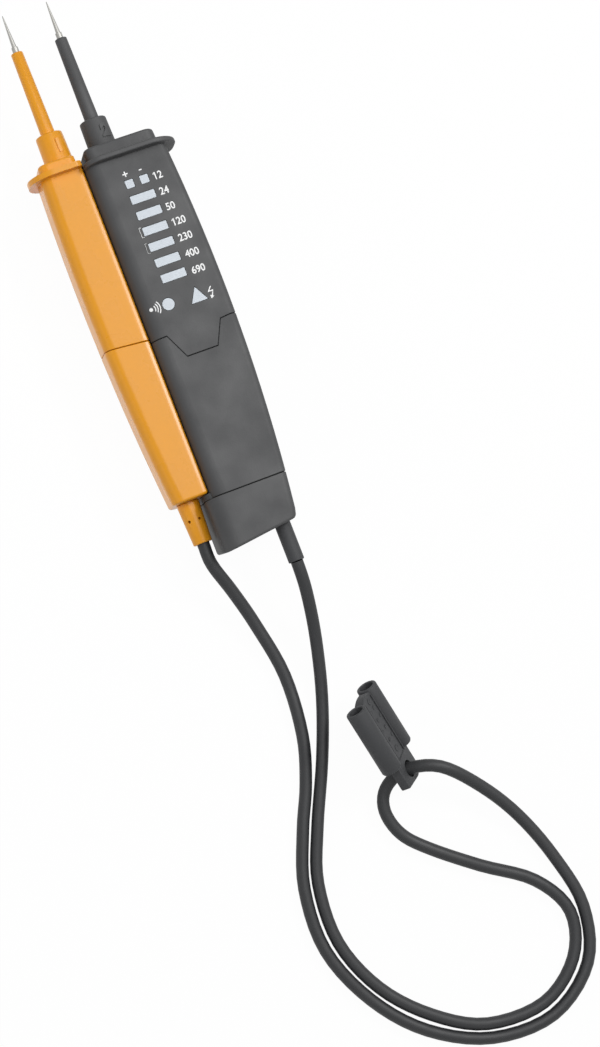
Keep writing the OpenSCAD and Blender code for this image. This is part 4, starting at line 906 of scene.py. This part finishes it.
BARS = [(9.25, 32.9 - 6.8 * i) for i in range(6)]
SIGNS = [(6.1, 39.6), (12.4, 39.6)]
SOUND = (3.05, -11.3)
DANGER = (15.45, -14.5)


def pane(x, y, w, h, grow, z_low, z_high, radius=0.3):
    """Makes a rectangular pane round its middle."""
    return slab((x - w / 2 - grow, y - h / 2 - grow, z_low), (x + w / 2 + grow, y + h / 2 + grow, z_high),
                [radius] * 4, 3, axis="Z")


def sound_pane(grow, z_low, z_high):
    """Makes the round pane of the sound window."""
    return disc(2.5 + grow, z_high - z_low, Matrix.Translation((*SOUND, (z_low + z_high) / 2)), 56)


def danger_pane(grow, z_low, z_high):
    """Makes the three-cornered pane of the danger window."""
    x, y = DANGER
    form = flat([(x - 3.5 - 1.7 * grow, y - grow, z_low), (x + 3.5 + 1.7 * grow, y - grow, z_low),
                 (x, y + 6.3 + 2 * grow, z_low)], [0.3] * 3, 3)
    pull(form, form.faces[:], (0, 0, z_high - z_low))
    return tidy(form)


def window_tools(grow):
    """Makes the tools that cut all the windows out of the front."""
    low, high = FRONT_Z - 3.5, FRONT_Z + 1
    parts = [pane(x, y, 10.4, 3.5, grow, low, high) for x, y in BARS]
    parts += [pane(x, y, 3.5, 3.5, grow, low, high) for x, y in SIGNS]
    return join(bmesh.new(), *parts, sound_pane(grow, low, high), danger_pane(grow, low, high))


class TESTER_OT_windows(bpy.types.Operator):
    """Makes the milky windows of the dial"""
    bl_idname = "tester.windows"
    bl_label = "Windows"

    def execute(self, context):
        high = FRONT_Z - mm(sizes().window_sink)
        low = FRONT_Z - 4.5
        bars = join(bmesh.new(), *[pane(x, y, 10.4, 3.5, 0, low, high) for x, y in BARS])
        signs = join(bmesh.new(), *[pane(x, y, 3.5, 3.5, 0, low, high) for x, y in SIGNS])
        sets = [(bars, "voltage_windows"), (signs, "sign_windows"),
                (sound_pane(0, low, high), "sound_window"), (danger_pane(0, low, high), "danger_window")]
        for form, name in sets:
            form.normal_update()
            tops = [face for face in form.faces if face.normal.z > 0.9]
            round_off(form, border(tops), 0.12, 2)
            hand_over(form, name + "_dressed", "window", "meter", [name], even=True)
        return {"FINISHED"}


class TESTER_OT_dial_print(bpy.types.Operator):
    """Prints the dial's figures and signs on the front"""
    bl_idname = "tester.dial_print"
    bl_label = "Dial print"

    def execute(self, context):
        thick = mm(sizes().print)
        height = mm(sizes().figure)
        figures = [("12", 18.3, 39.4), ("24", 18.2, 32.7), ("50", 18.3, 25.9), ("120", 19.6, 19.2),
                   ("230", 19.5, 12.4), ("400", 19.6, 5.3), ("690", 19.6, -1.8)]
        form = bmesh.new()
        for words, x, y in figures:
            part = lettering(words, height, thick, bold=0.018)
            if words[0] == "1":
                # The flag of the figure one
                edge, top = min(v.co.x for v in part.verts), height / 2
                flag = flat([(edge + 0.1, top, -thick / 2), (edge - 0.62, top - 0.6, -thick / 2),
                             (edge - 0.62, top - 1.1, -thick / 2), (edge + 0.1, top - 0.62, -thick / 2)])
                pull(flag, flag.faces[:], (0, 0, thick))
                join(part, tidy(flag))
            bmesh.ops.scale(part, vec=Vector((0.92, 1, 1)), verts=part.verts)
            bmesh.ops.translate(part, vec=Vector((x, y, FRONT_Z + thick / 2)), verts=part.verts)
            join(form, part)
        # Plus and minus above the sign windows, and the thin brackets left of two voltage windows
        strokes = [((4.6, 43.65), (6.8, 44.15)), ((5.45, 44.15), (5.95, 45.0)), ((5.45, 42.8), (5.95, 43.65)),
                   ((11.5, 43.4), (12.7, 43.9))]
        for (x, y), line in zip(BARS[2:4], (0.14, 0.08)):
            strokes += [((x - 6.4, y - 2.1), (x - 6.4 + line, y + 2.1)),
                        ((x - 6.4 + line, y - 2.1), (x - 5.4, y - 2.1 + line)),
                        ((x - 6.4 + line, y + 2.1 - line), (x - 5.4, y + 2.1))]
        for low, high in strokes:
            join(form, slab((*low, FRONT_Z), (*high, FRONT_Z + thick), [0] * 4, 1, axis="Z"))
        # Bolt with its arrow head, right of the danger window
        bolt = [[(21.4, -9.95), (21.85, -10.15), (20.5, -11.7), (19.65, -12.1)],
                [(19.65, -12.1), (20.5, -11.7), (22.15, -11.65), (21.7, -12.15)],
                [(21.7, -12.15), (22.15, -11.65), (21.15, -14.05), (20.65, -13.8)],
                [(20.15, -13.45), (21.6, -14.3), (20.3, -15.0)]]
        for number, corners in enumerate(bolt):
            stroke = flat([(x, y, FRONT_Z) for x, y in corners])
            pull(stroke, stroke.faces[:], (0, 0, thick * (1 + 0.3 * number)))
            join(form, tidy(stroke))
        # Sound sign, a dot with three arcs to its right
        centre = (-4.3, -11.2)
        join(form, disc(0.75, 0.16, Matrix.Translation((*centre, FRONT_Z + 0.02)), 20))
        for radius in (1.6, 2.6, 3.6):
            arc = bmesh.new()
            verts = [arc.verts.new((centre[0] + r * math.cos(0.68), centre[1] - r * math.sin(0.68), FRONT_Z))
                     for r in (radius, radius + 0.42)]
            edge = arc.edges.new(verts)
            bmesh.ops.spin(arc, geom=verts + [edge], cent=(*centre, 0), axis=(0, 0, 1), angle=1.36, steps=14)
            pull(arc, arc.faces[:], (0, 0, thick))
            join(form, tidy(arc))
        # The print follows the front where it turns down to the dock side
        bend = mm(sizes().dock_radius)
        for vert in form.verts:
            over = max(0, DOCK_X + bend - vert.co.x)
            vert.co.z -= bend - math.sqrt(bend ** 2 - over ** 2)
        hand_over(form, "dial_print", "ink", "meter", smooth=20)
        return {"FINISHED"}


class TESTER_OT_cable_ends(bpy.types.Operator):
    """Makes the meter's cable boot and the probe's strain relief"""
    bl_idname = "tester.cable_ends"
    bl_label = "Cable ends"

    def execute(self, context):
        bore = mm(sizes().cable) / 2 + 0.075
        x, z = BOOT_AXIS
        low, high = BOOT[0][1], BOOT[1][1]
        boot = turned([(high, bore), (high, 4.5), (high - 2, 4.5), (high - 2, 3.3), (low + 0.45, 3.3),
                       (low + 0.12, 3.2), (low, 3.0), (low, bore), (high, bore)], x, z, 64)
        hand_over(boot, "cable_boot_dressed", "cover", "meter", ["cable_boot"])
        x, z = RELIEF_AXIS
        low, high = RELIEF[0][1], RELIEF[1][1]
        rim_y = PROBE_END_Y - 0.15
        relief = turned([(high, bore), (high, 4.7), (high - 2, 4.7), (high - 2, 3.7), (rim_y, 3.7),
                         (rim_y, 4.5), (PROBE_END_Y - 0.35, 4.68), (low + 0.5, 3.95),
                         (low + 0.12, 3.84), (low, 3.6), (low, bore), (high, bore)], x, z, 72)
        for turn in (-38, 24):
            aim = Matrix.Rotation(math.radians(turn), 4, "Y")
            place = Matrix.Translation((x, PROBE_END_Y - 7.8, z)) @ aim @ Matrix.Translation((0, 0, 4.45))
            relief = carve(relief, disc(0.65, 4, place, 24))
        hand_over(relief, "probe_relief_dressed", "amber", "second_probe", ["probe_relief"])
        return {"FINISHED"}


class TESTER_OT_insides(bpy.types.Operator):
    """Gives the CAD nodes that stay their finishes"""
    bl_idname = "tester.insides"
    bl_label = "Inner pieces"

    def execute(self, context):
        finishes = {
            "steel": ["housing_screws", "probe_screw", "cap_screw"],
            "spring": ["battery_springs", "dock_springs", "tip_clip", "probe_tip_clip"],
            "brass": ["battery_contacts", "battery_bridge", "screw_insert"],
            "laminate": ["circuit_board", "probe_board"],
            "chip": ["processor_chips", "buzzer"],
            "lacquer": ["input_resistors", "probe_resistors"],
            "lamp": ["lamps"],
            "inner": ["light_frame", "battery_tray", "meter_cable_clamp", "probe_cable_clamp"],
            "jacket": ["battery_cells"],
            "seal": ["seam_seal", "cap_seal", "probe_seal"],
            "sheath": ["meter_cable_tail", "probe_cable_tail"],
            "lead": ["meter_leads", "probe_lead"],
        }
        for name, nodes in finishes.items():
            for cad in nodes:
                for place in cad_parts[cad].material_slots:
                    place.material = finish(name)
        return {"FINISHED"}


def seen_share(tree, rays, seen):
    """Gives the share of plain white for the camera's rays and for those that are mirrored or let through."""
    clear = node(tree, "ShaderNodeMath", {0: rays.outputs["Is Camera Ray"],
                                          1: rays.outputs["Is Transmission Ray"]}, operation="MAXIMUM")
    every = node(tree, "ShaderNodeMath", {0: clear.outputs[0], 1: rays.outputs["Is Glossy Ray"]},
                 operation="MAXIMUM")
    return node(tree, "ShaderNodeMath", {0: every.outputs[0], 1: seen}, operation="MULTIPLY").outputs[0]


class TESTER_OT_stage(bpy.types.Operator):
    """Makes the pale floor, the soft lamps and the world"""
    bl_idname = "tester.stage"
    bl_label = "Stage"

    def execute(self, context):
        floor = bmesh.new()
        bmesh.ops.create_grid(floor, x_segments=2, y_segments=2, size=6.0,
                              matrix=Matrix.Translation((0, 0, -0.0003)))
        mesh = bpy.data.meshes.new("floor")
        floor.to_mesh(mesh)
        floor.free()
        # Seamless white paper: the camera and reflections see it white, and it keeps the shadow
        paper = bpy.data.materials.new("white paper, matte")
        paper.use_nodes = True
        tree = paper.node_tree
        tree.nodes.clear()
        place = node(tree, "ShaderNodeTexCoord").outputs["Object"]
        fibre = node(tree, "ShaderNodeTexNoise", {"Vector": place, "Scale": 900.0, "Detail": 2.0})
        tint = node(tree, "ShaderNodeValToRGB", {"Fac": fibre.outputs["Fac"]})
        tint.color_ramp.elements[0].color = linear("#f3f3f3")
        tint.color_ramp.elements[1].color = linear("#fafafa")
        lit = node(tree, "ShaderNodeBsdfDiffuse", {"Color": tint.outputs["Color"]})
        rays = node(tree, "ShaderNodeLightPath")
        glow = node(tree, "ShaderNodeEmission", {"Color": (1, 1, 1, 1), "Strength": 1.0})
        share = seen_share(tree, rays, 0.97)
        both = node(tree, "ShaderNodeMixShader", {0: share, 1: lit.outputs[0], 2: glow.outputs[0]})
        node(tree, "ShaderNodeOutputMaterial", {"Surface": both.outputs[0]})
        mesh.materials.append(paper)
        sheet = bpy.data.objects.new("floor", mesh)
        context.scene.collection.objects.link(sheet)

        world = bpy.data.worlds.new("studio")
        world.use_nodes = True
        tree = world.node_tree
        tree.nodes.clear()
        rays = node(tree, "ShaderNodeLightPath")
        spread = node(tree, "ShaderNodeMath", {0: rays.outputs["Is Diffuse Ray"], 1: 0.16},
                      operation="MULTIPLY")
        strength = node(tree, "ShaderNodeMath", {0: spread.outputs[0], 1: seen_share(tree, rays, 1.0)})
        back = node(tree, "ShaderNodeBackground", {"Color": (1, 1, 1, 1), "Strength": strength.outputs[0]})
        node(tree, "ShaderNodeOutputWorld", {"Surface": back.outputs[0]})
        context.scene.world = world

        # Broad softbox overhead, whose sheen lies on the fronts, and a low one right for the long edges
        lamps = [("overhead", (0.2, 0.12, 1.05), 0.85, 5.2), ("right", (0.76, 0.12, 0.88), 0.26, 5.4),
                 ("fill", (-0.95, 0.1, 0.55), 0.7, 4.0)]
        for name, place, size, power in lamps:
            light = bpy.data.lights.new(name, "AREA")
            light.shape = "SQUARE"
            light.size = size
            light.energy = power
            lamp = bpy.data.objects.new(name, light)
            lamp.location = place
            aim = Vector((0, -0.05, 0.01)) - Vector(place)
            lamp.rotation_euler = aim.to_track_quat("-Z", "Y").to_euler()
            lamp.visible_glossy = name != "fill"
            context.scene.collection.objects.link(lamp)
        context.scene.view_settings.view_transform = "Standard"
        return {"FINISHED"}


class TESTER_PT_panel(bpy.types.Panel):
    """Lists the tester's groups of pieces"""
    bl_idname = "TESTER_PT_panel"
    bl_label = "Voltage tester"
    bl_space_type = "VIEW_3D"
    bl_region_type = "UI"
    bl_category = "Tester"

    def draw(self, context):
        column = self.layout.column()
        for operator in OPERATORS:
            column.operator(operator.bl_idname)
        for group in (context.scene.tester_sizes, context.scene.tester_colours):
            box = self.layout.box()
            for name in group.bl_rna.properties.keys():
                if name not in ("rna_type", "name"):
                    box.prop(group, name)


OPERATORS = (TESTER_OT_view, TESTER_OT_tip_cover, TESTER_OT_cable, TESTER_OT_stage, TESTER_OT_meter_housings,
             TESTER_OT_probe_housings, TESTER_OT_tips, TESTER_OT_windows, TESTER_OT_dial_print,
             TESTER_OT_cable_ends, TESTER_OT_insides)
CLASSES = (TesterSizes, TesterColours) + OPERATORS + (TESTER_PT_panel,)


def register():
    """Registers the add-on's classes and its settings."""
    for part in CLASSES:
        bpy.utils.register_class(part)
    bpy.types.Scene.tester_sizes = PointerProperty(type=TesterSizes)
    bpy.types.Scene.tester_colours = PointerProperty(type=TesterColours)


def unregister():
    """Takes the add-on's classes and settings away."""
    del bpy.types.Scene.tester_colours
    del bpy.types.Scene.tester_sizes
    for part in reversed(CLASSES):
        bpy.utils.unregister_class(part)


def main():
    """Makes the whole tester."""
    register()
    bpy.ops.tester.view()
    bpy.ops.tester.tip_cover()
    bpy.ops.tester.cable()
    bpy.ops.tester.stage()
    bpy.ops.tester.meter_housings()
    bpy.ops.tester.probe_housings()
    bpy.ops.tester.tips()
    bpy.ops.tester.windows()
    bpy.ops.tester.dial_print()
    bpy.ops.tester.cable_ends()
    bpy.ops.tester.insides()


if __name__ == "__main__":
    main()
